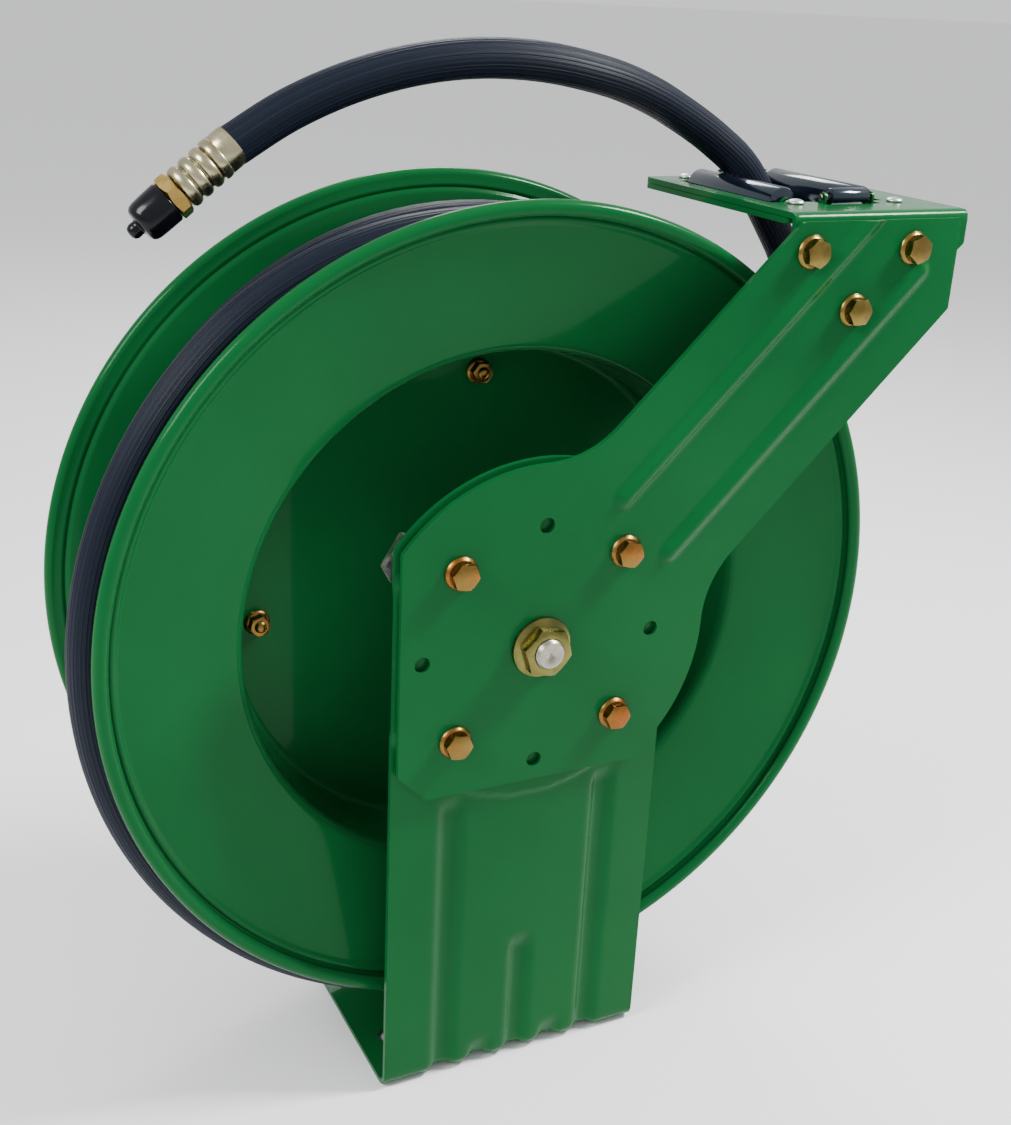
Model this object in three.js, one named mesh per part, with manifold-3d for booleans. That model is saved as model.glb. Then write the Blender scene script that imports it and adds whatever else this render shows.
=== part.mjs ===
// Spring-rewind air hose reel on a single pedestal: millimetres, +Z up, +X to the guide arm's side,
// +Y to the rear. Origin: middle of the base plate's underside, below the spool's middle plane.
import * as THREE from "three";
import * as BufferGeometryUtils from "three/addons/utils/BufferGeometryUtils.js";
import Module from "manifold-3d";

const wasm = await Module();
wasm.setup();

// ---- driving dimensions -------------------------------------------------------------------
const GAP = 0.3; // clearance between pieces that touch
const SHAFT_Z = 263; // shaft's height above the base plate's underside
const PAD_FACE_Y = -82.2; // front of the pedestal's round pad, on which the guide arm lies
const PAD_RISE = 1.5; // the pad stands this far in front of the pedestal's face
const PED_FACE_Y = PAD_FACE_Y + PAD_RISE;
const PED_T = 3;
const PED_BACK_Y = PED_FACE_Y + PED_T;
const PED_HALF_W = 79.7;
const PED_TOP_R = 100;
const PAD_R = 88.5;
const BEND_R = 9; // outside radius of the pedestal's bend into the base plate
const BASE_REAR_Y = 82.2;
const BASE_T = 4;
const BASE_HOLE = { x: 62, y: [-41, 55], r: 5.5 };

const ARM_T = 3;
const ARM_FACE_Y = PAD_FACE_Y - GAP - ARM_T;
const ARM_DISC_R = 98;
const ARM_CUT = 77.7; // the disc is cut straight at this distance, left and below
const ARM_CORNER = 16; // chamfer where the two straight cuts meet
const ARM_HALF_W = 53.5; // half the width of the arm's straight stretch
const ARM_FILLET_R = 54; // concave blend from disc to straight stretch
const ARM_TOP_Z = 211.7; // above the shaft
const ARM_RIGHT_X = 239;
const BOLT_CIRCLE_R = 65.9;
const INDEX_HOLE_R = 4.2;
const RIBS = [[22.5, 79, 266], [-22, 78, 288]]; // distance from the arm's middle line, start, end
const RIB_HALF_W = 4.5;
const RIB_H = 2;

const BRACKET_T = 3;
const BRACKET_TOP_Z = SHAFT_Z + 215.5;
const BRACKET_X = [133, 246];
const BRACKET_REAR_Y = 64.5;
const BRACKET_LEG_Y = PAD_FACE_Y; // front face of the bracket's leg, behind the arm
const BRACKET_BOLTS = [[142.6, 196.6], [208.2, 196.7], [173.9, 165.5]];
const FRAME_DROP = BRACKET_T + GAP; // the roller frame's plate lies this far under the bracket's top
const ROLLER_R = 8.5;
const ROLLER_HALF_L = 40.5;
const ROLLER_Z = SHAFT_Z + 214.2;
const ROLLER_X = [155, 207];
const LUG_Y = [41.5, 43.5]; // lugs that carry the long rollers' pins
const LUG_R = 3.6;
const PIN_R = 2;
const CROSS = { r: 4.7, y: 48.7, z: SHAFT_Z + 218.4, x: [178, 202.5] };
const NOTCH_X = [175.5, 205]; // the frame's notch for a cross roller
const FRAME_SCREWS = [[156, -50], [222, -50], [156, 56], [222, 56]];

const FLANGE_R = 222;
const RIM_Y = 61.5; // the two rims' planes lie this far each side of the middle plane
const BEAD_R = 4;
const SHEET = 2; // spool sheet; the two halves' floors lie back to back on the middle plane
const SPOOL_BOLT_R = 125;
const SPOOL_BOLT_AT = [1, 91, 181, 271]; // degrees about the shaft

const HOSE_D = 20;
const HOSE_R = HOSE_D / 2;
const LAYER_R = [159.5, 179.9, 200.3]; // hose centreline in the three full layers
const OUTER_TURN_R = 220.7;
const OUTER_TURN_Y = -46.6;

const FREE_Y = 7.5; // the free end hangs in this plane
// its arc over the reel: centre x and height above the shaft, radius, first and last angle
const FREE_ARC = { x: 7.4, z: 36.7, r: 244.5, from: 124.9, to: 84 };
// x, y and height above the shaft: from the arc between the rollers and down to the spool
const LEAD = [[64.1, 9, 274.9], [84.5, 12, 270], [105.5, 16, 262.9], [121.6, 20, 256.1], [137, 23, 248.8],
  [147, 24, 243.3], [156, 24, 237.5], [165.4, 24, 231], [174.5, 24, 222.8], [182, 24, 213.6],
  [188.9, 24, 203.7], [197.9, 23.5, 190.6], [207, 22, 175.5], [214.5, 20, 155], [219.8, 18, 128],
  [222.6, 15.5, 95], [223.4, 13, 65], [223, 10.5, 35]];
const END_TILT = 4.4; // the hose's end hangs a little steeper than the arc, degrees
const FERRULE = { r: 10.7, l: 29.6 };
const FITTING = { across: 20, hexL: 6.5, threadR: 7.2, threadL: 13 };
const CAP = { r: 10.6, bore: 7.5, l: 24 };

const SHAFT_R = 10;
const STUD_R = 8; // the shaft's front end, M16, through pedestal and arm
const SHAFT_Y = [-98.2, 74];
const HUB = { inner: 15, outer: 19, y: [-71, 2.15], flangeR: 38 };
const RATCHET = { outer: 60, root: 53, teeth: 12, y: [-67, -63] };
const PAWL_PIVOT = [-66, 50]; // x and height above the shaft
const PAWL_OUTLINE = [[-80.2, 46.8], [-74.8, 37], [-66, 38], [-60, 22], [-56, 23.5], [-57, 42], [-57, 54],
  [-63, 60], [-70, 63.3]];
const PAWL_NOTCH = 149; // angle of the ratchet notch that faces the pawl, degrees
const CASE = { r: 95, y: [3, 29], sheet: 1.5 };
const SPRING = { inner: 21, outer: 78, turns: 6, thick: 2, y: [6, 26] };
const ARBOR_R = 17;
const SWIVEL = { r: 26, y: [35, 57], offset: 25, at: 236 }; // its outlet is turned by this angle, degrees
// hose from the swivel: straight, then one bend on to the drum
const TAIL = { bendR: 83, straight: 50, drop: 15 };
const SLOT_AT = SWIVEL.at + 115.5; // angle of the slot in the rear half's wall
const M8 = { across: 13, head: 6.5, flangeR: 9, flangeH: 1.6, shankR: 4 };

const GREEN = { color: 0x17763a, roughness: 0.3, metalness: 0.1 };
const GOLD = { color: 0xb99b55, roughness: 0.35, metalness: 0.9 };
const ZINC = { color: 0xb4b6ae, roughness: 0.4, metalness: 0.9 };
const STEEL = { color: 0x9a9ba0, roughness: 0.35, metalness: 1 };
const BRASS = { color: 0xb98b3c, roughness: 0.3, metalness: 1 };
const HOSE = { color: 0x23242f, roughness: 0.6, metalness: 0 };
const BLACK = { color: 0x14151a, roughness: 0.35, metalness: 0 };
const SEAL = { color: 0x101010, roughness: 0.7, metalness: 0 };

const reel = new THREE.Group();

// ---- helpers --------------------------------------------------------------------------------
function add(name, geometry, look) {
  const mesh = new THREE.Mesh(geometry, new THREE.MeshStandardMaterial(look));
  mesh.name = name;
  reel.add(mesh);
  return mesh;
}

function toSolid(geometry) {
  const bare = geometry.clone();
  bare.deleteAttribute("normal");
  bare.deleteAttribute("uv");
  const merged = BufferGeometryUtils.mergeVertices(bare, 1e-4);
  const triVerts = Uint32Array.from(merged.index.array);
  const vertProperties = Float32Array.from(merged.attributes.position.array);
  return new wasm.Manifold(new wasm.Mesh({ numProp: 3, vertProperties, triVerts }));
}

function toGeometry(solid) {
  const mesh = solid.getMesh();
  const geometry = new THREE.BufferGeometry();
  geometry.setAttribute("position", new THREE.BufferAttribute(mesh.vertProperties.slice(), 3));
  geometry.setIndex(new THREE.BufferAttribute(mesh.triVerts.slice(), 1));
  return geometry;
}

function join(...geometries) {
  return toGeometry(geometries.map(toSolid).reduce((a, b) => a.add(b)));
}

function cut(geometry, ...tools) {
  return toGeometry(tools.map(toSolid).reduce((a, b) => a.subtract(b), toSolid(geometry)));
}

// round bar along Y from y0 to y1, about the line x, z
function barY(r, y0, y1, x = 0, z = SHAFT_Z, sides = 16) {
  return new THREE.CylinderGeometry(r, r, y1 - y0, sides).translate(x, (y0 + y1) / 2, z);
}

function barX(r, x0, x1, y, z, sides = 12) {
  return new THREE.CylinderGeometry(r, r, x1 - x0, sides).rotateZ(Math.PI / 2).translate((x0 + x1) / 2, y, z);
}

function barZ(r, z0, z1, x, y, sides = 12) {
  return new THREE.CylinderGeometry(r, r, z1 - z0, sides).rotateX(Math.PI / 2).translate(x, y, (z0 + z1) / 2);
}

function hexY(across, y0, y1, x, z) {
  const r = across / Math.sqrt(3);
  return new THREE.CylinderGeometry(r, r, y1 - y0, 6).translate(x, (y0 + y1) / 2, z);
}

function box(x0, x1, y0, y1, z0, z1) {
  return new THREE.BoxGeometry(x1 - x0, y1 - y0, z1 - z0)
    .translate((x0 + x1) / 2, (y0 + y1) / 2, (z0 + z1) / 2);
}

// closed ring turned about the shaft: profile is a list of [radius, y]
function ring(profile, sides) {
  const area = profile.reduce((sum, [r, y], i) => {
    const [r2, y2] = profile[(i + 1) % profile.length];
    return sum + r * y2 - r2 * y;
  }, 0);
  const loop = area > 0 ? [...profile] : [...profile].reverse();
  const points = [...loop, loop[0]].map(([r, y]) => new THREE.Vector2(r, y));
  return new THREE.LatheGeometry(points, sides).translate(0, 0, SHAFT_Z);
}

function tubeRing(inner, outer, y0, y1, sides) {
  return ring([[inner, y0], [outer, y0], [outer, y1], [inner, y1]], sides);
}

// plate standing in the XZ plane, cut from a shape whose second coordinate is the height above the shaft
function plateY(shape, y0, y1, curveSegments = 12) {
  return new THREE.ExtrudeGeometry(shape, { depth: y1 - y0, bevelEnabled: false, curveSegments })
    .rotateX(Math.PI / 2).translate(0, y1, SHAFT_Z);
}

// plate lying flat between two heights, cut from a shape in X and Y
function plateZ(shape, z0, z1, curveSegments = 6) {
  return new THREE.ExtrudeGeometry(shape, { depth: z1 - z0, bevelEnabled: false, curveSegments })
    .translate(0, 0, z0);
}

function roundedRect(x0, x1, y0, y1, r, path = new THREE.Shape()) {
  path.moveTo(x0 + r, y0);
  path.lineTo(x1 - r, y0);
  path.absarc(x1 - r, y0 + r, r, -Math.PI / 2, 0);
  path.lineTo(x1, y1 - r);
  path.absarc(x1 - r, y1 - r, r, 0, Math.PI / 2);
  path.lineTo(x0 + r, y1);
  path.absarc(x0 + r, y1 - r, r, Math.PI / 2, Math.PI);
  path.lineTo(x0, y0 + r);
  path.absarc(x0 + r, y0 + r, r, Math.PI, 1.5 * Math.PI);
  return path;
}

// round hole whose flats lie outside the radius asked for
function circleHole(x, y, r) {
  const sides = r > 12 ? 24 : 12;
  const points = [];
  for (let i = 0; i < sides; i++) {
    const a = (2 * Math.PI * i) / sides;
    points.push(new THREE.Vector2(x + (r / Math.cos(Math.PI / sides)) * Math.cos(a),
      y + (r / Math.cos(Math.PI / sides)) * Math.sin(a)));
  }
  return new THREE.Path(points);
}

function polar(r, degrees) {
  const a = THREE.MathUtils.degToRad(degrees);
  return [r * Math.cos(a), r * Math.sin(a)];
}

// section of sides points swept along points, joined by a smooth curve
function tube(points, r, sides, steps) {
  const section = new THREE.Shape();
  for (let i = 0; i <= sides; i++) {
    const [x, y] = polar(r, (360 * i) / sides);
    if (i === 0) section.moveTo(x, y);
    else if (i < sides) section.lineTo(x, y);
  }
  section.closePath();
  const curve = new THREE.CatmullRomCurve3(points.map((p) => new THREE.Vector3(...p)), false, "centripetal");
  return new THREE.ExtrudeGeometry(section, { steps, extrudePath: curve, bevelEnabled: false });
}

// turns a geometry about the shaft, from +X towards +Z, and lifts it to the shaft's height
function turnAndLift(geometry, degrees) {
  return geometry.rotateY(-THREE.MathUtils.degToRad(degrees)).translate(0, 0, SHAFT_Z);
}

// ---- pedestal --------------------------------------------------------------------------------
function pedestal() {
  const face = new THREE.Shape();
  const foot = -SHAFT_Z + BEND_R;
  const reach = Math.sqrt(PED_TOP_R ** 2 - PED_HALF_W ** 2);
  const corner = Math.atan2(reach, PED_HALF_W);
  face.moveTo(-PED_HALF_W, foot);
  face.lineTo(PED_HALF_W, foot);
  face.lineTo(PED_HALF_W, reach);
  face.absarc(0, 0, PED_TOP_R, corner, Math.PI - corner);
  face.lineTo(-PED_HALF_W, foot);
  face.holes.push(circleHole(0, 0, STUD_R + GAP));
  for (const degrees of [45, 135, 225, 315]) {
    face.holes.push(circleHole(...polar(BOLT_CIRCLE_R, degrees), M8.shankR + GAP));
  }
  const side = new THREE.Shape(); // section of the bend and base plate, in Y and Z
  side.moveTo(PED_FACE_Y, BEND_R);
  side.absarc(PED_FACE_Y + BEND_R, BEND_R, BEND_R, Math.PI, 1.5 * Math.PI);
  side.lineTo(BASE_REAR_Y, 0);
  side.lineTo(BASE_REAR_Y, BASE_T);
  side.lineTo(PED_FACE_Y + BEND_R, BASE_T);
  side.absarc(PED_FACE_Y + BEND_R, BEND_R, BEND_R - BASE_T, 1.5 * Math.PI, Math.PI, true);
  const depth = 2 * PED_HALF_W;
  const foldAndBase = new THREE.ExtrudeGeometry(side, { depth, bevelEnabled: false, curveSegments: 5 })
    .rotateZ(Math.PI / 2).rotateY(Math.PI / 2).translate(-PED_HALF_W, 0, 0);
  const pad = tubeRing(STUD_R + GAP, PAD_R, PAD_FACE_Y, PED_FACE_Y + 0.5, 40);
  const boltHoles = [];
  const weldNuts = [];
  for (const degrees of [45, 135, 225, 315]) {
    const [x, z] = polar(BOLT_CIRCLE_R, degrees);
    boltHoles.push(barY(M8.shankR + GAP, PAD_FACE_Y - 1, PED_BACK_Y + 8, x, SHAFT_Z + z, 10));
    weldNuts.push(hexY(M8.across, PED_BACK_Y - 0.5, PED_BACK_Y + 6.5, x, SHAFT_Z + z));
  }
  const baseHoles = [];
  for (const x of [-BASE_HOLE.x, BASE_HOLE.x]) {
    for (const y of BASE_HOLE.y) baseHoles.push(barZ(BASE_HOLE.r, -1, BASE_T + 1, x, y));
  }
  const pawlHole = barY(3 + GAP, PED_FACE_Y - 1, PED_BACK_Y + 1, PAWL_PIVOT[0], SHAFT_Z + PAWL_PIVOT[1], 10);
  const whole = join(plateY(face, PED_FACE_Y, PED_BACK_Y, 16), foldAndBase, pad, ...weldNuts);
  const sides = [-1, 1].map((side) => box(0, 20, -100, -60, SHAFT_Z - 95, SHAFT_Z + 95)
    .translate(side < 0 ? -PED_HALF_W - 20 : PED_HALF_W, 0, 0)); // the pad ends at the pedestal's edges
  add("pedestal", cut(whole, ...boltHoles, ...baseHoles, pawlHole, ...sides), GREEN);
}

// ---- guide arm -------------------------------------------------------------------------------
function armOutline() {
  const shape = new THREE.Shape();
  const reach = Math.sqrt(ARM_DISC_R ** 2 - ARM_CUT ** 2);
  const corner = Math.atan2(reach, ARM_CUT);
  const blend = ARM_DISC_R + ARM_FILLET_R; // the blends are centred right of and above the shaft
  const edge = ARM_HALF_W * Math.SQRT2;
  shape.moveTo(-ARM_CUT + ARM_CORNER, -ARM_CUT);
  shape.lineTo(reach, -ARM_CUT);
  shape.absarc(0, 0, ARM_DISC_R, corner - Math.PI / 2, 0);
  shape.absarc(blend, 0, ARM_FILLET_R, Math.PI, 0.75 * Math.PI, true);
  shape.lineTo(ARM_RIGHT_X, ARM_RIGHT_X - edge);
  shape.lineTo(ARM_RIGHT_X, ARM_TOP_Z);
  shape.lineTo(ARM_TOP_Z - edge, ARM_TOP_Z);
  shape.absarc(0, blend, ARM_FILLET_R, -0.25 * Math.PI, -0.5 * Math.PI, true);
  shape.absarc(0, 0, ARM_DISC_R, Math.PI / 2, Math.PI - corner);
  shape.lineTo(-ARM_CUT, -ARM_CUT + ARM_CORNER);
  return shape;
}

function guideArm() {
  const shape = armOutline();
  shape.holes.push(circleHole(0, 0, STUD_R + GAP));
  for (let degrees = 0; degrees < 360; degrees += 45) {
    const r = degrees % 90 ? M8.shankR + GAP : INDEX_HOLE_R;
    shape.holes.push(circleHole(...polar(BOLT_CIRCLE_R, degrees), r));
  }
  for (const [x, z] of BRACKET_BOLTS) shape.holes.push(circleHole(x, z, M8.shankR + GAP));
  const plate = plateY(shape, ARM_FACE_Y, ARM_FACE_Y + ARM_T, 6);
  const ribs = RIBS.map(([offset, start, end]) =>
    new THREE.CylinderGeometry(RIB_HALF_W, RIB_HALF_W, end - start, 10)
      .scale(1, 1, RIB_H / RIB_HALF_W)
      .translate(-offset, (start + end) / 2, 0)
      .rotateZ(-Math.PI / 4)
      .rotateX(Math.PI / 2)
      .translate(0, ARM_FACE_Y, SHAFT_Z)
  );
  add("guide_arm", join(plate, ...ribs), GREEN);
}

// ---- fasteners -------------------------------------------------------------------------------
function flangeBolt(name, x, height, faceY, backY, look) {
  const z = SHAFT_Z + height;
  const head = faceY - GAP;
  const bolt = join(
    hexY(M8.across, head - M8.head, head - M8.flangeH, x, z),
    barY(M8.flangeR, head - M8.flangeH - 0.01, head, x, z, 14),
    barY(M8.shankR, head - 0.01, backY, x, z, 10)
  );
  add(name, bolt, look);
}

function flangeNut(name, x, height, y, look) {
  const z = SHAFT_Z + height;
  const nut = join(barY(M8.flangeR, y, y + 1.5, x, z, 14), hexY(M8.across, y + 1.49, y + 7.5, x, z));
  add(name, cut(nut, barY(M8.shankR + GAP, y - 1, y + 9, x, z, 10)), look);
}

function armFasteners() {
  [45, 135, 225, 315].forEach((degrees, i) => {
    const [x, z] = polar(BOLT_CIRCLE_R, degrees);
    flangeBolt(`arm_bolt_${i + 1}`, x, z, ARM_FACE_Y, PED_BACK_Y + 7.5, GOLD);
  });
  BRACKET_BOLTS.forEach(([x, z], i) => {
    const back = BRACKET_LEG_Y + BRACKET_T;
    flangeBolt(`bracket_bolt_${i + 1}`, x, z, ARM_FACE_Y, back + 10, GOLD);
    flangeNut(`bracket_nut_${i + 1}`, x, z, back + GAP, ZINC);
  });
}

// ---- roller bracket, roller frame and rollers ---------------------------------------------------
// window with a notch in its front and rear edges, for the hose and the cross rollers
function windowOutline(halfLong, halfNotch, x, notchX) {
  const path = new THREE.Path();
  path.moveTo(x[0], -halfLong);
  path.lineTo(notchX[0], -halfLong);
  path.lineTo(notchX[0], -halfNotch);
  path.lineTo(notchX[1], -halfNotch);
  path.lineTo(notchX[1], -halfLong);
  path.lineTo(x[1], -halfLong);
  path.lineTo(x[1], halfLong);
  path.lineTo(notchX[1], halfLong);
  path.lineTo(notchX[1], halfNotch);
  path.lineTo(notchX[0], halfNotch);
  path.lineTo(notchX[0], halfLong);
  path.lineTo(x[0], halfLong);
  return path;
}

function rollerBracket() {
  const leg = new THREE.Shape();
  const top = BRACKET_TOP_Z - SHAFT_Z;
  leg.moveTo(BRACKET_X[0], top - 1);
  leg.lineTo(BRACKET_X[0], top - 26);
  leg.lineTo(160, 152);
  leg.lineTo(192, 152);
  leg.lineTo(BRACKET_X[1], top - 20);
  leg.lineTo(BRACKET_X[1], top - 1);
  for (const [x, z] of BRACKET_BOLTS) leg.holes.push(circleHole(x, z, M8.shankR + GAP));
  const legPlate = plateY(leg, BRACKET_LEG_Y, BRACKET_LEG_Y + BRACKET_T, 5);
  const table = roundedRect(BRACKET_X[0], BRACKET_X[1], BRACKET_LEG_Y, BRACKET_REAR_Y, 3);
  table.holes.push(windowOutline(44.5, 55.5, [143.5, 218.5], [NOTCH_X[0] - 4, NOTCH_X[1] + 4]));
  for (const [x, y] of FRAME_SCREWS) table.holes.push(circleHole(x, y, 2.5 + GAP));
  const slab = plateZ(table, BRACKET_TOP_Z - BRACKET_T, BRACKET_TOP_Z);
  add("roller_bracket", join(legPlate, slab), GREEN);
}

function rollerFrame() {
  const top = BRACKET_TOP_Z - FRAME_DROP;
  const bottom = top - BRACKET_T;
  const outline = roundedRect(BRACKET_X[0], 240, BRACKET_LEG_Y + 8, BRACKET_REAR_Y, 3);
  outline.holes.push(windowOutline(LUG_Y[0], 54.5, [145, 217.5], NOTCH_X));
  for (const [x, y] of FRAME_SCREWS) outline.holes.push(circleHole(x, y, 2.5 + GAP));
  const parts = [];
  const tabTop = CROSS.z + 2.7;
  for (const side of [-1, 1]) {
    const [near, far] = side < 0 ? [-LUG_Y[1], -LUG_Y[0]] : LUG_Y;
    const [tabNear, tabFar] = side < 0 ? [-53, -44.8] : [44.8, 53];
    for (const x of ROLLER_X) {
      parts.push(box(x - LUG_R, x + LUG_R, near, far, top - 1, ROLLER_Z));
      parts.push(barY(LUG_R, near, far, x, ROLLER_Z, 16));
    }
    parts.push(box(NOTCH_X[0] - 2, NOTCH_X[0], tabNear, tabFar, top - 1, tabTop));
    parts.push(box(NOTCH_X[1], NOTCH_X[1] + 2, tabNear, tabFar, top - 1, tabTop));
  }
  const holes = ROLLER_X.map((x) => barY(PIN_R + GAP, -44.5, 44.5, x, ROLLER_Z, 10));
  for (const side of [-1, 1]) {
    holes.push(barX(PIN_R + GAP - 0.4, 160, 215, side * CROSS.y, CROSS.z, 10));
  }
  add("roller_frame", cut(join(plateZ(outline, bottom, top), ...parts), ...holes), GREEN);
  FRAME_SCREWS.forEach(([x, y], i) => {
    const screw = join(
      barZ(4.5, BRACKET_TOP_Z + GAP, BRACKET_TOP_Z + GAP + 2.2, x, y, 12),
      barZ(2.5, bottom - 4, BRACKET_TOP_Z + GAP + 0.01, x, y, 8),
      barZ(4.2, bottom - 3.5, bottom - GAP, x, y, 6)
    );
    add(`frame_screw_${i + 1}`, screw, ZINC);
  });
}

function rollers() {
  ["left", "right"].forEach((side, i) => {
    const body = barY(ROLLER_R, -ROLLER_HALF_L, ROLLER_HALF_L, ROLLER_X[i], ROLLER_Z, 20);
    const bore = barY(PIN_R + GAP, -50, 50, ROLLER_X[i], ROLLER_Z, 10);
    add(`roller_${side}`, cut(body, bore), BLACK);
    add(`roller_pin_${side}`, barY(PIN_R, -44.2, 44.2, ROLLER_X[i], ROLLER_Z, 10), STEEL);
  });
  ["front", "rear"].forEach((side, i) => {
    const y = (2 * i - 1) * CROSS.y;
    const bore = barX(PIN_R + GAP - 0.4, 160, 215, y, CROSS.z, 8);
    add(`roller_${side}`, cut(barX(CROSS.r, ...CROSS.x, y, CROSS.z, 14), bore), BLACK);
    add(`roller_pin_${side}`, barX(PIN_R - 0.4, NOTCH_X[0] - 3, NOTCH_X[1] + 3, y, CROSS.z, 8), STEEL);
  });
}

// ---- shaft, hub and ratchet --------------------------------------------------------------------
function shaftGroup() {
  const [front, rear] = SHAFT_Y;
  const shoulder = PED_BACK_Y + GAP;
  const profile = [[0, front], [STUD_R - 1, front], [STUD_R, front + 1], [STUD_R, shoulder],
    [14, shoulder], [14, shoulder + 5], [SHAFT_R, shoulder + 5], [SHAFT_R, rear],
    [4, rear], [4, 42], [0, 42]];
  const bar = new THREE.LatheGeometry(profile.map(([r, y]) => new THREE.Vector2(r, y)), 24)
    .translate(0, 0, SHAFT_Z);
  const middle = (SWIVEL.y[0] + SWIVEL.y[1]) / 2;
  add("shaft", cut(bar, barX(3, 0, 20, middle, SHAFT_Z, 10)), STEEL);
  const seat = ARM_FACE_Y - GAP;
  const nut = join(barY(16.5, seat - 3, seat, 0, SHAFT_Z, 24), hexY(24, seat - 10, seat - 2.99, 0, SHAFT_Z));
  add("shaft_nut", cut(nut, barY(STUD_R + GAP, seat - 12, seat + 1, 0, SHAFT_Z, 20)), GOLD);
  add("spring_arbor", tubeRing(SHAFT_R + GAP, ARBOR_R, SPRING.y[0], SPRING.y[1], 24), STEEL);
  const elbow = join(
    barY(15, 64, 92, 0, SHAFT_Z, 20),
    barZ(13, SHAFT_Z - 36, SHAFT_Z, 0, 79, 18),
    new THREE.CylinderGeometry(16, 16, 12, 6).rotateX(Math.PI / 2).translate(0, 79, SHAFT_Z - 34)
  );
  const bores = [barY(SHAFT_R + GAP, 60, rear + GAP, 0, SHAFT_Z, 20), barY(7, 70, 84, 0, SHAFT_Z, 12),
    barZ(7, SHAFT_Z - 50, SHAFT_Z, 0, 79, 12)];
  add("inlet_elbow", cut(elbow, ...bores), BRASS);
}

function hub() {
  const { inner, outer, y, flangeR } = HUB;
  const seat = -SHEET - 2 * GAP;
  add("hub_tube", ring([[inner, y[0]], [outer, y[0]], [outer, seat - 4], [flangeR, seat - 4],
    [flangeR, seat], [outer, seat], [outer, y[1]], [inner, y[1]]], 24), ZINC);
  for (const [name, from, to] of [["bush_front", -70, -56], ["bush_rear", -12, 2]]) {
    add(name, tubeRing(SHAFT_R + GAP, inner - GAP, from, to, 24), BRASS);
  }
}

function ratchetWheel() {
  const shape = new THREE.Shape();
  const pitch = 360 / RATCHET.teeth;
  for (let i = 0; i < RATCHET.teeth; i++) {
    const at = PAWL_NOTCH + i * pitch; // the notch's steep side
    const corners = [[RATCHET.root, at], [RATCHET.root, at + 4], [RATCHET.outer, at + pitch - 9],
      [RATCHET.outer, at + pitch]];
    corners.forEach(([r, a], j) => (i + j ? shape.lineTo(...polar(r, a)) : shape.moveTo(...polar(r, a))));
  }
  shape.holes.push(circleHole(0, 0, HUB.outer + GAP));
  add("ratchet_wheel", plateY(shape, ...RATCHET.y, 8), ZINC);
}

function pawlGroup() {
  const [px, pz] = PAWL_PIVOT;
  const shape = new THREE.Shape(PAWL_OUTLINE.map(([x, z]) => new THREE.Vector2(x, z)));
  shape.holes.push(circleHole(px, pz, 3 + GAP));
  add("pawl", plateY(shape, ...RATCHET.y, 6), ZINC);
  const stud = join(barY(3, PED_FACE_Y - 0.5, RATCHET.y[1] + 2, px, SHAFT_Z + pz, 12),
    barY(5.5, PED_BACK_Y + GAP, RATCHET.y[0] - GAP, px, SHAFT_Z + pz, 12),
    barY(5.5, RATCHET.y[1] + GAP, RATCHET.y[1] + 2.5, px, SHAFT_Z + pz, 12));
  add("pawl_stud", stud, ZINC);
  const coil = [];
  for (let i = 0; i <= 24; i++) {
    const [x, z] = polar(7.4, 200 + i * 30);
    coil.push([px + x, RATCHET.y[0] - 6.2 + 0.22 * i, SHAFT_Z + pz + z]);
  }
  add("pawl_spring", tube(coil, 0.6, 5, 48), STEEL);
}

// ---- spool ---------------------------------------------------------------------------------
function spoolProfile(side) {
  const skin = [[20, 0.15], [139.5, 0.15], [142.6, 3], [145.8, 39], [147.4, 41.9], [152, 43], [206, 54.5],
    [210.5, 55.3], [213, 57.4]];
  for (let degrees = -110; degrees <= 200; degrees += 31) {
    const [r, y] = polar(BEAD_R, degrees);
    skin.push([FLANGE_R - BEAD_R + r, RIM_Y + y]);
  }
  skin.push([209.5, 57.6], [206, 56.5], [152, 45], [147, 44.4], [144.4, 42.4], [143.5, 39],
    [140.6, 5], [138, 0.15 + SHEET], [20, 0.15 + SHEET]);
  return skin.map(([r, y]) => [r, side * y]);
}

function spoolHalves() {
  const holes = SPOOL_BOLT_AT.map((degrees) => {
    const [x, z] = polar(SPOOL_BOLT_R, degrees);
    return barY(3 + GAP, -5, 5, x, SHAFT_Z + z, 10);
  });
  const slot = turnAndLift(box(119, 148, 20, 41, -28, 28), SLOT_AT);
  add("spool_front", cut(ring(spoolProfile(-1), 40), ...holes), GREEN);
  add("spool_rear", cut(ring(spoolProfile(1), 40), ...holes, slot), GREEN);
  SPOOL_BOLT_AT.forEach((degrees, i) => {
    const [x, z] = polar(SPOOL_BOLT_R, degrees);
    const seat = SHEET + 2 * GAP - 0.15;
    const shank = barY(3, -12, seat + 0.01, x, SHAFT_Z + z, 10);
    add(`spool_bolt_${i + 1}`, join(shank, hexY(10, seat, seat + 5, x, SHAFT_Z + z)), GOLD);
    const flange = barY(7, -seat - 1.4, -seat, x, SHAFT_Z + z, 14);
    const nut = join(flange, hexY(10, -seat - 7, -seat - 1.39, x, SHAFT_Z + z));
    add(`spool_nut_${i + 1}`, cut(nut, barY(3 + GAP, -15, 0, x, SHAFT_Z + z, 10)), GOLD);
  });
}

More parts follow.
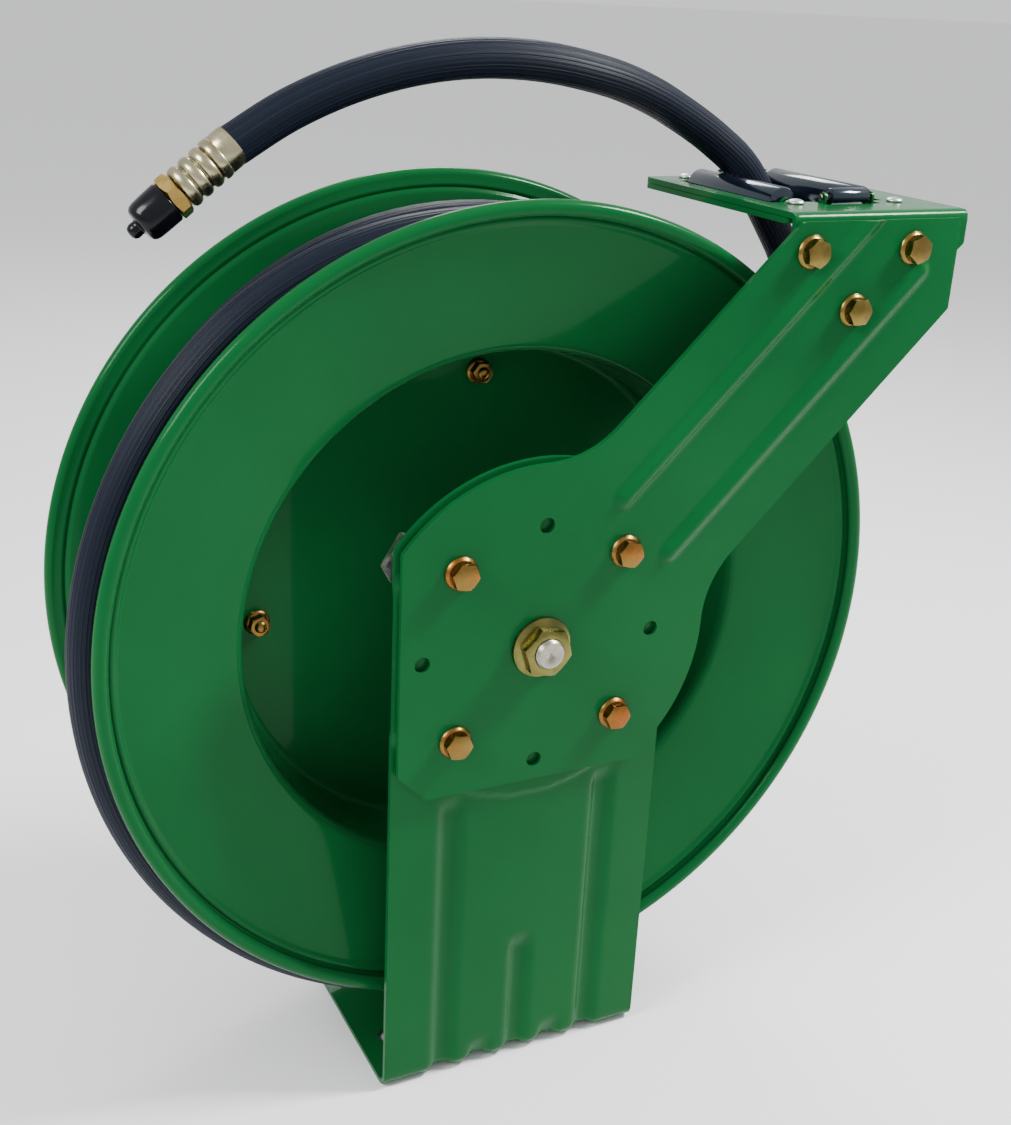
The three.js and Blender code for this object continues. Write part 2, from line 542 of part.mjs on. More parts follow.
// ---- rewind spring, swivel and hose tail ---------------------------------------------------------
function springGroup() {
  const { r, y, sheet } = CASE;
  add("spring_case", ring([[r - sheet, y[0]], [r + 8, y[0]], [r + 8, y[0] + sheet], [r, y[0] + sheet],
    [r, y[1]], [SHAFT_R + 3, y[1]], [SHAFT_R + 3, y[1] - sheet], [r - sheet, y[1] - sheet]], 32), GREEN);
  const { inner, outer, turns, thick } = SPRING;
  const shape = new THREE.Shape();
  const steps = 20 * turns;
  for (let i = 0; i <= steps; i++) {
    const point = polar(inner + ((outer - inner) * i) / steps, (360 * turns * i) / steps);
    if (i) shape.lineTo(...point);
    else shape.moveTo(...point);
  }
  for (let i = steps; i >= 0; i--) {
    shape.lineTo(...polar(inner + thick + ((outer - inner) * i) / steps, (360 * turns * i) / steps));
  }
  add("spring_strip", plateY(shape, ...SPRING.y), STEEL);
}

function swivelGroup() {
  const [front, rear] = SWIVEL.y;
  const middle = (front + rear) / 2;
  const boss = barZ(13, -4, 36, SWIVEL.offset, middle, 16);
  const nipple = barZ(14.5, 32, 46, SWIVEL.offset, middle, 6);
  const air = barX(4, 0, SWIVEL.offset, middle, 0, 10);
  const outlet = barZ(6, -1, 60, SWIVEL.offset, middle, 10);
  const [bossT, nippleT, airT, outletT] = [boss, nipple, air, outlet].map((g) => turnAndLift(g, SWIVEL.at));
  const grooves = [front + 5, rear - 5].map((y) => tubeRing(SHAFT_R - 1, SHAFT_R + 3, y - 1.6, y + 1.6, 20));
  const bore = barY(SHAFT_R + GAP, front - 1, rear + 1, 0, SHAFT_Z, 24);
  const body = join(barY(SWIVEL.r, front, rear, 0, SHAFT_Z, 24), bossT, nippleT);
  add("swivel_body", cut(body, bore, ...grooves, airT, outletT), BRASS);
  [front + 5, rear - 5].forEach((y, i) => {
    add(`oring_${i + 1}`, tubeRing(SHAFT_R + 0.2, SHAFT_R + 2.6, y - 1.2, y + 1.2, 20), SEAL);
  });
}

// middle line of the hose from the swivel to just inside the drum wall
function tailRoute() {
  const middle = (SWIVEL.y[0] + SWIVEL.y[1]) / 2;
  const at = THREE.MathUtils.degToRad(SWIVEL.at);
  const points = [];
  for (let degrees = -2; degrees <= 68; degrees += 14) {
    const bent = Math.max(0, degrees);
    const [dx, dz] = polar(TAIL.bendR, bent);
    const x = SWIVEL.offset - TAIL.bendR + dx;
    const z = degrees < 0 ? TAIL.straight - 3 : TAIL.straight + dz;
    const y = middle - TAIL.drop * THREE.MathUtils.smoothstep(bent, 0, 80);
    points.push([x * Math.cos(at) - z * Math.sin(at), y, SHAFT_Z + x * Math.sin(at) + z * Math.cos(at)]);
  }
  return points;
}

function hoseGroup() {
  add("hose_tail", tube(tailRoute(), HOSE_R, 10, 12), HOSE);
  const [first, , last] = LAYER_R;
  add("hose_coil", ring([[first - HOSE_R - 1.2, -41.3], [last + HOSE_R - 0.4, -54],
    [last + HOSE_R - 0.4, 54], [first - HOSE_R - 1.2, 41.3]], 48), HOSE);
  add("hose_run", tube(runRoute(), HOSE_R, 10, 76), HOSE);
}

// middle line of the free hose: from the ferrule over the arc, between the rollers, once round the spool
function runRoute() {
  const points = [];
  for (let i = 0; i <= 8; i++) {
    const [x, z] = polar(FREE_ARC.r, FREE_ARC.from + ((FREE_ARC.to - FREE_ARC.from) * i) / 8);
    points.push([FREE_ARC.x + x, FREE_Y, SHAFT_Z + FREE_ARC.z + z]);
  }
  for (const [x, y, z] of LEAD) points.push([x, y, SHAFT_Z + z]);
  for (let degrees = 0; degrees >= -264; degrees -= 12) {
    const [x, z] = polar(OUTER_TURN_R + 0.4, degrees);
    const across = THREE.MathUtils.smoothstep(-degrees, 0, 115);
    points.push([x, FREE_Y + (OUTER_TURN_Y - FREE_Y) * across, SHAFT_Z + z]);
  }
  return points;
}

// a piece built along Y from the hose's end, turned in line with it
function onHoseEnd(geometry) {
  const [x, z] = polar(FREE_ARC.r, FREE_ARC.from);
  return geometry.rotateZ(THREE.MathUtils.degToRad(FREE_ARC.from + END_TILT)).rotateX(Math.PI / 2)
    .translate(FREE_ARC.x + x, FREE_Y, SHAFT_Z + FREE_ARC.z + z);
}

function turned(profile, sides) {
  return new THREE.LatheGeometry(profile.map(([r, y]) => new THREE.Vector2(r, y)), sides);
}

function endGroup() {
  const hexEnd = FERRULE.l + 2 * GAP + FITTING.hexL;
  const { r, bore, l } = CAP;
  add("hose_ferrule", onHoseEnd(turned([[0, 5 * GAP], [FERRULE.r - 1, 5 * GAP], [FERRULE.r, 3],
    [FERRULE.r, FERRULE.l - 1.5], [FERRULE.r - 2, FERRULE.l], [0, FERRULE.l]], 20)), GOLD);
  const hex = new THREE.CylinderGeometry(FITTING.across / Math.sqrt(3), FITTING.across / Math.sqrt(3),
    FITTING.hexL, 6).translate(0, hexEnd - FITTING.hexL / 2, 0);
  const thread = new THREE.CylinderGeometry(FITTING.threadR, FITTING.threadR, FITTING.threadL + 1, 18)
    .translate(0, hexEnd + FITTING.threadL / 2 - 0.5, 0);
  const airway = new THREE.CylinderGeometry(5, 5, 60, 12).translate(0, hexEnd + 24, 0);
  add("hose_fitting", onHoseEnd(cut(join(hex, thread), airway)), BRASS);
  const start = hexEnd + GAP;
  add("dust_cap", onHoseEnd(turned([[bore, start], [r, start], [r, start + l - 3], [r - 2.5, start + l],
    [0, start + l], [0, start + l - 4], [bore, start + l - 4], [bore, start]], 18)), BLACK);
}

pedestal();
guideArm();
armFasteners();
rollerBracket();
rollerFrame();
rollers();
shaftGroup();
hub();
ratchetWheel();
pawlGroup();
spoolHalves();
springGroup();
swivelGroup();
hoseGroup();
endGroup();

export default reel;
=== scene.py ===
"""Looks for the spring-rewind air hose reel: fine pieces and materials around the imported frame.

Lengths below are millimetres, in the row frame; a piece becomes metres when its mesh is made.
"""
import math

import bmesh
import bpy
import numpy as np
from mathutils import Matrix, Vector
from mathutils.geometry import delaunay_2d_cdt


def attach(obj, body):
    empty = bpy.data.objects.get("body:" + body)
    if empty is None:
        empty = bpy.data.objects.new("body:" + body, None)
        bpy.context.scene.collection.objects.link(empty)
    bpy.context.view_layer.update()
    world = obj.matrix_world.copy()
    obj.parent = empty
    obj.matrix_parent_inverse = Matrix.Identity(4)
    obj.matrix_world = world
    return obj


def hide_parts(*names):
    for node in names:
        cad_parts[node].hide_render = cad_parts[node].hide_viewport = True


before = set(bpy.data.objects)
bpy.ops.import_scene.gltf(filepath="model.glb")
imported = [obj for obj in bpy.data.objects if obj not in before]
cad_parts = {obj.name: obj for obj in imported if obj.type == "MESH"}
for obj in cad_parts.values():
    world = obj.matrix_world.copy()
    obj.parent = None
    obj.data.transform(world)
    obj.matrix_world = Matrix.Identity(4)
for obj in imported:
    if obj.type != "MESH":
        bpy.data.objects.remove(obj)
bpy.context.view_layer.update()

MM = 0.001
GAP = 0.3

# ---- sizes shared with the CAD part ------------------------------------------------------------
SHAFT_Z = 263.0
PAD_FACE_Y = -82.2
PED_FACE_Y = -80.7
PED_T = 3.0
PED_HALF_W = 79.7
PED_TOP_R = 100.0
PAD_R = 88.5
BEND_R = 9.0
BASE_REAR_Y = 82.2
BASE_HOLES = [(-62, -41), (62, -41), (-62, 55), (62, 55)]
BASE_HOLE_R = 5.5

ARM_T = 3.0
ARM_FACE_Y = PAD_FACE_Y - GAP - ARM_T
ARM_DISC_R = 98.0
ARM_CUT = 77.7
ARM_CORNER = 16.0
ARM_HALF_W = 53.5
ARM_FILLET_R = 54.0
ARM_TOP = 211.7
ARM_RIGHT_X = 239.0
BOLT_CIRCLE_R = 65.9
RIBS = [(22.5, 79.0, 296.0), (-22.0, 77.0, 288.0)]

BRACKET_X = (133.0, 246.0)
BRACKET_TOP = 215.5
BRACKET_T = 3.0
BRACKET_LEG_Y = PAD_FACE_Y
BRACKET_REAR_Y = 64.5
BRACKET_BOLTS = [(142.6, 196.6), (208.2, 196.7), (173.9, 165.5)]
ROLLER_X = (155.0, 207.0)
ROLLER_R = 8.5
ROLLER_HALF_L = 40.5
ROLLER_Z = SHAFT_Z + 214.2
CROSS = {"r": 4.7, "y": 48.7, "z": SHAFT_Z + 218.4, "x": (178.0, 202.5)}
NOTCH_X = (175.5, 205.0)
LUG_Y = (41.5, 43.5)
FRAME_SCREWS = [(156, -50), (222, -50), (156, 56), (222, 56)]

FLANGE_R = 222.0
RIM_Y = 61.5
BEAD_R = 4.0
SPOOL_BOLT_R = 125.0
SPOOL_BOLT_AT = (1, 91, 181, 271)

HOSE_D = 20.0
FREE_Y = 7.5
FREE_ARC = {"x": 7.4, "z": 36.7, "r": 244.5, "from": 124.9, "to": 84.0}
LEAD = [(64.1, 9, 274.9), (84.5, 12, 270), (105.5, 16, 262.9), (121.6, 20, 256.1), (137, 23, 248.8),
        (147, 24, 243.3), (156, 24, 237.5), (165.4, 24, 231), (174.5, 24, 222.8), (182, 24, 213.6),
        (188.9, 24, 203.7), (197.9, 23.5, 190.6), (207, 22, 175.5), (214.5, 20, 155), (219.8, 18, 128),
        (222.6, 15.5, 95), (223.4, 13, 65), (223, 10.5, 35)]
END_TILT = 4.4
OUTER_R = 220.7
OUTER_Y = -46.6
# each wound layer: radius, then the places across the spool of its four turns, in winding order
LAYERS = [(159.5, (34.4, 11.5, -11.4, -34.4)), (179.9, (-38.8, -15.8, 7.2, 30.2)),
          (200.3, (21.3, -0.2, -21.7, -43.2))]
ZONES = (280.0, 190.0, 100.0)  # where a layer's turns step across, degrees about the shaft
ZONE_W = 90.0
LAST_CLIMB = (70.0, 135.0)  # where the outermost turn climbs over the last layer
SWIVEL = {"r": 26.0, "y": (35.0, 57.0), "offset": 25.0, "at": 236.0}
TAIL = {"bend_r": 83.0, "straight": 50.0, "drop": 15.0}


# ---- camera ------------------------------------------------------------------------------------
def make_camera():
    data = bpy.data.cameras.new("camera")
    data.sensor_fit = "VERTICAL"
    data.sensor_height = 36.0
    data.lens = 46.65
    right = Vector((0.8976, -0.4383, 0.0465)).normalized()
    forward = Vector((0.4237, 0.8290, -0.3650)).normalized()
    up = right.cross(forward).normalized()
    right = forward.cross(up)
    place = Matrix((right, up, -forward)).transposed().to_4x4()
    place.translation = Vector((-0.3285, -0.6840, 0.5757))
    camera = bpy.data.objects.new("camera", data)
    camera.matrix_world = place
    bpy.context.scene.collection.objects.link(camera)
    bpy.context.scene.camera = camera


# ---- materials ---------------------------------------------------------------------------------
class Finish:
    """A Principled material with helpers for procedural colour, roughness and bump."""

    def __init__(self, name, roughness, metallic=0.0, coat=0.0, coat_roughness=0.1, specular=0.5):
        self.material = bpy.data.materials.new(name)
        self.material.use_nodes = True
        self.tree = self.material.node_tree
        self.shader = self.tree.nodes["Principled BSDF"]
        self.shader.inputs["Roughness"].default_value = roughness
        self.shader.inputs["Metallic"].default_value = metallic
        self.shader.inputs["Coat Weight"].default_value = coat
        self.shader.inputs["Coat Roughness"].default_value = coat_roughness
        self.shader.inputs["Specular IOR Level"].default_value = specular
        self.bump = None

    def node(self, kind, **values):
        node = self.tree.nodes.new(kind)
        for key, value in values.items():
            setattr(node, key, value)
        return node

    def link(self, a, b):
        self.tree.links.new(a, b)

    def coords(self, stretch=(1, 1, 1), source="Object"):
        place = self.node("ShaderNodeTexCoord")
        mapping = self.node("ShaderNodeMapping")
        mapping.inputs["Scale"].default_value = stretch
        self.link(place.outputs[source], mapping.inputs["Vector"])
        return mapping.outputs["Vector"]

    def noise(self, scale, detail=3.0, stretch=(1, 1, 1), source="Object", rough=0.5):
        noise = self.node("ShaderNodeTexNoise")
        noise.inputs["Scale"].default_value = scale
        noise.inputs["Detail"].default_value = detail
        noise.inputs["Roughness"].default_value = rough
        self.link(self.coords(stretch, source), noise.inputs["Vector"])
        return noise.outputs["Fac"]

    def ramp(self, value, stops):
        ramp = self.node("ShaderNodeValToRGB")
        elements = ramp.color_ramp.elements
        while len(elements) < len(stops):
            elements.new(0.5)
        for element, (at, colour) in zip(elements, stops):
            element.position = at
            element.color = (*colour, 1)
        self.link(value, ramp.inputs["Fac"])
        return ramp.outputs["Color"]

    def colour(self, value, stops):
        self.link(self.ramp(value, stops), self.shader.inputs["Base Color"])
        return self

    def rough(self, value, low, high):
        spread = self.node("ShaderNodeMapRange")
        spread.inputs["To Min"].default_value = low
        spread.inputs["To Max"].default_value = high
        spread.inputs["From Min"].default_value = 0.3
        spread.inputs["From Max"].default_value = 0.7
        self.link(value, spread.inputs["Value"])
        self.link(spread.outputs["Result"], self.shader.inputs["Roughness"])
        return self

    def relief(self, value, strength, distance):
        bump = self.node("ShaderNodeBump")
        bump.inputs["Strength"].default_value = strength
        bump.inputs["Distance"].default_value = distance
        self.link(value, bump.inputs["Height"])
        if self.bump:
            self.link(self.bump, bump.inputs["Normal"])
        self.bump = bump.outputs["Normal"]
        self.link(self.bump, self.shader.inputs["Normal"])
        return self


def green_paint():
    paint = Finish("green_paint", 0.3, specular=0.08, coat=0.06, coat_roughness=0.05)
    paint.shader.inputs["Specular Tint"].default_value = (0.3, 0.85, 0.45, 1)
    paint.colour(paint.noise(9, 4), [(0.3, (0.0042, 0.071, 0.0175)), (0.7, (0.0056, 0.086, 0.0215))])
    paint.rough(paint.noise(60, 5), 0.16, 0.22)
    paint.relief(paint.noise(9, 2), 0.12, 0.004)
    return paint.material


def yellow_zinc():
    plate = Finish("yellow_zinc", 0.3, metallic=1.0)
    plate.colour(plate.noise(38, 3), [(0.32, (0.20, 0.060, 0.014)), (0.44, (0.23, 0.100, 0.022)),
                                      (0.56, (0.18, 0.115, 0.030)), (0.7, (0.22, 0.068, 0.020))])
    plate.rough(plate.noise(240, 4), 0.22, 0.42)
    plate.relief(plate.noise(700, 3), 0.12, 0.0002)
    return plate.material


def pale_zinc(name, low, middle, high):
    plate = Finish(name, 0.3, metallic=1.0)
    plate.colour(plate.noise(60, 3), [(0.35, low), (0.52, middle), (0.66, high)])
    plate.rough(plate.noise(240, 4), 0.2, 0.36)
    plate.relief(plate.noise(600, 3), 0.1, 0.0002)
    return plate.material


def zinc():
    plate = Finish("zinc", 0.38, metallic=1.0)
    plate.colour(plate.noise(90, 4), [(0.35, (0.46, 0.47, 0.46)), (0.65, (0.66, 0.66, 0.62))])
    plate.rough(plate.noise(300, 4), 0.28, 0.48)
    plate.relief(plate.noise(500, 3), 0.12, 0.0002)
    return plate.material


def steel():
    metal = Finish("steel", 0.3, metallic=1.0)
    metal.colour(metal.noise(70, 4), [(0.35, (0.27, 0.26, 0.21)), (0.65, (0.42, 0.40, 0.34))])
    metal.rough(metal.noise(200, 4), 0.22, 0.42)
    metal.relief(metal.noise(900, 2), 0.1, 0.0002)
    return metal.material


def brass():
    metal = Finish("brass", 0.28, metallic=1.0)
    metal.colour(metal.noise(80, 3), [(0.35, (0.42, 0.27, 0.07)), (0.65, (0.54, 0.38, 0.13))])
    metal.rough(metal.noise(260, 4), 0.2, 0.36)
    metal.relief(metal.noise(800, 2), 0.08, 0.0002)
    return metal.material


def hose_rubber():
    rubber = Finish("hose_rubber", 0.45, specular=0.11)
    lines = rubber.noise(1.0, 2, (90, 0.9, 1), "UV", 0.6)
    rubber.colour(lines, [(0.32, (0.0030, 0.0048, 0.0100)), (0.5, (0.0050, 0.0078, 0.0150)),
                          (0.68, (0.0085, 0.0125, 0.0230))])
    rubber.rough(rubber.noise(1.0, 4, (30, 9, 1), "UV"), 0.34, 0.48)
    rubber.relief(lines, 0.7, 0.0008)
    rubber.relief(rubber.noise(420, 3), 0.08, 0.0003)
    return rubber.material


def black_plastic():
    plastic = Finish("black_plastic", 0.3, specular=0.7)
    plastic.shader.inputs["Specular Tint"].default_value = (0.7, 0.9, 1.0, 1)
    plastic.colour(plastic.noise(50, 3), [(0.3, (0.003, 0.004, 0.009)), (0.7, (0.006, 0.008, 0.016))])
    plastic.rough(plastic.noise(150, 4), 0.09, 0.15)
    plastic.relief(plastic.noise(700, 3), 0.03, 0.0002)
    return plastic.material


def cap_vinyl():
    vinyl = Finish("cap_vinyl", 0.3, specular=0.2)
    vinyl.colour(vinyl.noise(60, 3), [(0.3, (0.0016, 0.0022, 0.0035)), (0.7, (0.0030, 0.0038, 0.0055))])
    vinyl.rough(vinyl.noise(180, 3), 0.14, 0.24)
    vinyl.relief(vinyl.noise(120, 2), 0.1, 0.0006)
    return vinyl.material


def seal_rubber():
    rubber = Finish("seal_rubber", 0.6)
    rubber.colour(rubber.noise(200, 2), [(0.3, (0.008, 0.008, 0.008)), (0.7, (0.016, 0.016, 0.016))])
    rubber.relief(rubber.noise(700, 2), 0.1, 0.0002)
    return rubber.material


LOOKS = {
    "green_paint": green_paint(),
    "yellow_zinc": yellow_zinc(),
    "zinc": zinc(),
    "steel": steel(),
    "brass": brass(),
    "hose_rubber": hose_rubber(),
    "black_plastic": black_plastic(),
    "cap_vinyl": cap_vinyl(),
    "seal_rubber": seal_rubber(),
}
PALE_ZINC = pale_zinc("pale_yellow_zinc", (0.34, 0.29, 0.16), (0.44, 0.40, 0.26), (0.30, 0.30, 0.18))
GOLD_ZINC = pale_zinc("gold_zinc", (0.16, 0.115, 0.028), (0.21, 0.150, 0.040), (0.15, 0.088, 0.026))
OLIVE_ZINC = pale_zinc("olive_zinc", (0.11, 0.105, 0.028), (0.17, 0.150, 0.045), (0.095, 0.100, 0.030))


# ---- mesh helpers --------------------------------------------------------------------------------
def along(origin, direction, sideways=(1, 0, 0)):
    """Matrix that takes local Z to direction and local X near sideways, at origin."""
    z = Vector(direction).normalized()
    x = Vector(sideways)
    x = (x - z * x.dot(z)).normalized()
    matrix = Matrix((x, z.cross(x), z)).transposed().to_4x4()
    matrix.translation = Vector(origin)
    return matrix


FRONT = (0, -1, 0)
REAR = (0, 1, 0)


class Build:
    """Collects the closed solids of one piece, in millimetres."""

    def __init__(self):
        self.points = []
        self.faces = []
        self.uvs = []

    def add(self, points, faces, place=None, uvs=None):
        first = len(self.points)
        if place is not None:
            points = [place @ Vector(p) for p in points]
        self.points += [tuple(p) for p in points]
        self.faces += [tuple(first + i for i in face) for face in faces]
        self.uvs += uvs if uvs else [[(0.0, 0.0)] * len(face) for face in faces]
        return self

    def turned(self, profile, place, sides=64, loop=False):
        """Turns profile, a list of (radius, height) or a function of the angle that gives one, about local Z.
        A plain profile runs from the axis to the axis; a loop closes on itself."""
        rings = []
        for i in range(sides):
            angle = 2 * math.pi * i / sides
            rings.append(profile(angle) if callable(profile) else profile)
        count = len(rings[0])
        points = []
        index = []
        for i, ring in enumerate(rings):
            angle = 2 * math.pi * i / sides
            row = []
            for j, (r, h) in enumerate(ring):
                if r < 1e-6 and i:
                    row.append(index[0][j])
                    continue
                row.append(len(points))
                points.append((r * math.cos(angle), r * math.sin(angle), h))
            index.append(row)
        faces = []
        for i in range(sides):
            a, b = index[i], index[(i + 1) % sides]
            for j in range(count if loop else count - 1):
                k = (j + 1) % count
                corner = [a[j], b[j], b[k], a[k]]
                face = [v for n, v in enumerate(corner) if v not in corner[:n]]
                if len(face) > 2:
                    faces.append(face)
        return self.add(points, faces, place)

    def hexagon(self, across, low, high, place, bore=0.0, sides=72, both=False):
        """Hexagonal bar from low to high with a turned chamfer at the top, or at both ends."""
        inner = across / 2 * 0.98

        def profile(angle):
            turn = (angle + math.pi / 6) % (math.pi / 3) - math.pi / 6
            r = across / 2 / math.cos(turn)
            fall = max(0.0, r - inner) * 0.58
            start = [(bore, low), (inner, low), (r, low + fall)] if both else [(bore, low), (r, low)]
            return start + [(r, high - fall), (inner, high), (bore, high)]

        return self.turned(profile, place, sides, loop=bore > 0)

    def box(self, low, high):
        x, y, z = zip(low, high)
        points = [(a, b, c) for a in x for b in y for c in z]
        faces = [(0, 1, 3, 2), (4, 6, 7, 5), (0, 4, 5, 1), (2, 3, 7, 6), (0, 2, 6, 4), (1, 5, 7, 3)]
        return self.add(points, faces)

    def tube(self, path, radius, sides=24, flutes=0, flute_depth=0.0):
        """Tube along a dense path, with fine flutes along it; its UV runs round and along, in metres."""
        path = np.asarray(path, float)
        tangents = np.gradient(path, axis=0)
        tangents /= np.linalg.norm(tangents, axis=1)[:, None]
        side = np.cross(tangents[0], (0.0, 1.0, 0.0))
        side /= np.linalg.norm(side)
        run = np.concatenate([[0], np.cumsum(np.linalg.norm(np.diff(path, axis=0), axis=1))]) * MM
        points = []
        for centre, tangent in zip(path, tangents):
            side = side - tangent * side.dot(tangent)
            side /= np.linalg.norm(side)
            other = np.cross(tangent, side)
            for j in range(sides):
                a = 2 * math.pi * j / sides
                r = radius - flute_depth * (1 - math.cos(flutes * a)) / 2
                points.append(centre + r * (math.cos(a) * side + math.sin(a) * other))
        faces = []
        uvs = []
        for i in range(len(path) - 1):
            for j in range(sides):
                k = (j + 1) % sides
                faces.append((i * sides + j, i * sides + k, (i + 1) * sides + k, (i + 1) * sides + j))
                u, w = j / sides, (j + 1) / sides
                uvs.append([(u, run[i]), (w, run[i]), (w, run[i + 1]), (u, run[i + 1])])
        last = (len(path) - 1) * sides
        faces.append(tuple(range(sides - 1, -1, -1)))
        faces.append(tuple(last + j for j in range(sides)))
        uvs += [[(0.5, 0.0)] * sides, [(0.5, run[-1])] * sides]
        return self.add(points, faces, None, uvs)

    def finish(self, name, look, body, nodes=(), slot=None, sharp=38, bevel=0.0, material=None):
        """Makes the piece: a mesh in metres that rides on body and stands for the CAD nodes."""
        mesh = bpy.data.meshes.new(name)
        mesh.from_pydata([(x * MM, y * MM, z * MM) for x, y, z in self.points], [], self.faces)
        layer = mesh.uv_layers.new(name="UVMap")
        flat = [c for face in self.uvs for uv in face for c in uv]
        layer.data.foreach_set("uv", flat)
        tidy = bmesh.new()
        tidy.from_mesh(mesh)
        bmesh.ops.recalc_face_normals(tidy, faces=tidy.faces)
        if bevel:
            edges = [e for e in tidy.edges if len(e.link_faces) == 2 and e.calc_face_angle(0) > 1.0]
            bmesh.ops.bevel(tidy, geom=edges, offset=bevel * MM, segments=2, affect="EDGES",
                            clamp_overlap=True)
        tidy.to_mesh(mesh)
        tidy.free()
        mesh.polygons.foreach_set("use_smooth", [True] * len(mesh.polygons))
        mesh.set_sharp_from_angle(angle=math.radians(sharp))
        obj = bpy.data.objects.new(name, mesh)
        bpy.context.scene.collection.objects.link(obj)
        mesh.materials.append(material or LOOKS[look])
        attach(obj, body)
        if nodes:
            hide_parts(*([nodes] if isinstance(nodes, str) else nodes))
        return obj


def polar(r, degrees):
    a = math.radians(degrees)
    return r * math.cos(a), r * math.sin(a)


def smoothstep(x, low=0.0, high=1.0):
    t = min(1.0, max(0.0, (x - low) / (high - low)))
    return t * t * (3 - 2 * t)


def filleted(corners, steps=6):
    """Polyline through (x, y, fillet radius) corners, each rounded by an arc."""
    points = []
    for i, (x, y, r) in enumerate(corners):
        here = Vector((x, y))
        if r == 0 or i in (0, len(corners) - 1):
            points.append((x, y))
            continue
        to_last = (Vector(corners[i - 1][:2]) - here).normalized()
        to_next = (Vector(corners[i + 1][:2]) - here).normalized()
        half = to_last.angle(to_next) / 2
        reach = r / math.tan(half)
        centre = here + (to_last + to_next).normalized() * (r / math.sin(half))
        start = here + to_last * reach - centre
        end = here + to_next * reach - centre
        turn = math.atan2(start.x * end.y - start.y * end.x, start.dot(end))
        for k in range(steps + 1):
            a = turn * k / steps
            points.append((centre.x + start.x * math.cos(a) - start.y * math.sin(a),
                           centre.y + start.x * math.sin(a) + start.y * math.cos(a)))
    return points


def sheet_loop(line, thickness):
    """Closed outline of a sheet of that thickness about its middle line."""
    line = np.array(line)
    tangent = np.gradient(line, axis=0)
    tangent /= np.linalg.norm(tangent, axis=1)[:, None]
    normal = np.stack([-tangent[:, 1], tangent[:, 0]], axis=1) * thickness / 2
    return [tuple(p) for p in np.concatenate([line + normal, (line - normal)[::-1]])]


def thread(r, low, high, pitch=1.25, depth=0.5):
    """Profile of a thread as ridges, from low to high."""
    points = []
    h = low
    while h + pitch <= high:
        points += [(r - depth, h), (r, h + pitch * 0.5)]
        h += pitch
    return points + [(r - depth, h), (r - depth - 0.6, high)]


def smooth_path(points, step=8.0):
    """Centripetal Catmull-Rom curve through points, sampled about every step."""
    p = np.asarray(points, float)
    p = np.vstack([2 * p[0] - p[1], p, 2 * p[-1] - p[-2]])
    path = []
    for a, b, c, d in zip(p, p[1:], p[2:], p[3:]):
        t1 = np.linalg.norm(b - a) ** 0.5
        t2 = t1 + np.linalg.norm(c - b) ** 0.5
        t3 = t2 + np.linalg.norm(d - c) ** 0.5
        for t in np.linspace(t1, t2, max(2, round(np.linalg.norm(c - b) / step)), endpoint=False):
            ab = a + (b - a) * t / t1
            bc = b + (c - b) * (t - t1) / (t2 - t1)
            cd = c + (d - c) * (t - t2) / (t3 - t2)
            abc = ab + (bc - ab) * t / t2
            bcd = bc + (cd - bc) * (t - t1) / (t3 - t1)
            path.append(abc + (bcd - abc) * (t - t1) / (t2 - t1))
    path.append(p[-2])
    return np.array(path)


def length_of(path):
    return float(np.linalg.norm(np.diff(path, axis=0), axis=1).sum()) * MM


# ---- hose ------------------------------------------------------------------------------------------
def about_shaft(r, degrees, y):
    x, z = polar(r, degrees)
    return (x, y, SHAFT_Z + z)


def tail_points():
    """From the swivel's outlet: straight, then one bend on to the drum through its slot."""
    middle = sum(SWIVEL["y"]) / 2
    turn = Matrix.Rotation(math.radians(SWIVEL["at"]), 2)
    meets = math.degrees(math.atan2(TAIL["straight"], SWIVEL["offset"] - TAIL["bend_r"]))
    points = [(SWIVEL["offset"], middle, TAIL["straight"] - 3)]
    for degrees in np.linspace(4, meets - 8, 13):
        dx, dz = polar(TAIL["bend_r"], degrees)
        y = middle - TAIL["drop"] * smoothstep(degrees, 0, 80)
        points.append((SWIVEL["offset"] - TAIL["bend_r"] + dx, y, TAIL["straight"] + dz))
    placed = []
    for x, y, z in points:
        flat = turn @ Vector((x, z))
        placed.append((flat.x, y, SHAFT_Z + flat.y))
    return placed, meets + SWIVEL["at"]


def wound_points():
    """Three layers of four turns; in its zone a turn steps over to the next, or climbs to the next layer."""
    points, angle = tail_points()
    joined = angle
    angle += 6
    layer, turn = 0, 0
    y_now = points[-1][1]
    last = LAST_CLIMB[0]
    while layer < 2 or turn < 3 or (angle - last) % 360 > 10:
        r, places = LAYERS[layer]
        y = places[turn]
        zone = (angle - ZONES[layer]) % 360
        if zone < ZONE_W and angle > joined + 180:
            s = zone / ZONE_W
            if turn < 3:
                y += (places[turn + 1] - y) * smoothstep(s)
            else:
                r += (LAYERS[layer + 1][0] - r) * smoothstep(s, 0, 0.45)
                y += (LAYERS[layer + 1][1][0] - y) * smoothstep(s)
            if zone + 10 >= ZONE_W:
                layer, turn = (layer, turn + 1) if turn < 3 else (layer + 1, 0)
        y_now += (y - y_now) * (1.0 if len(points) > 26 else 0.3)
        points.append(about_shaft(r, angle, y_now))
        angle += 10
    points.append(about_shaft(LAYERS[2][0], last, LAYERS[2][1][3]))
    return points


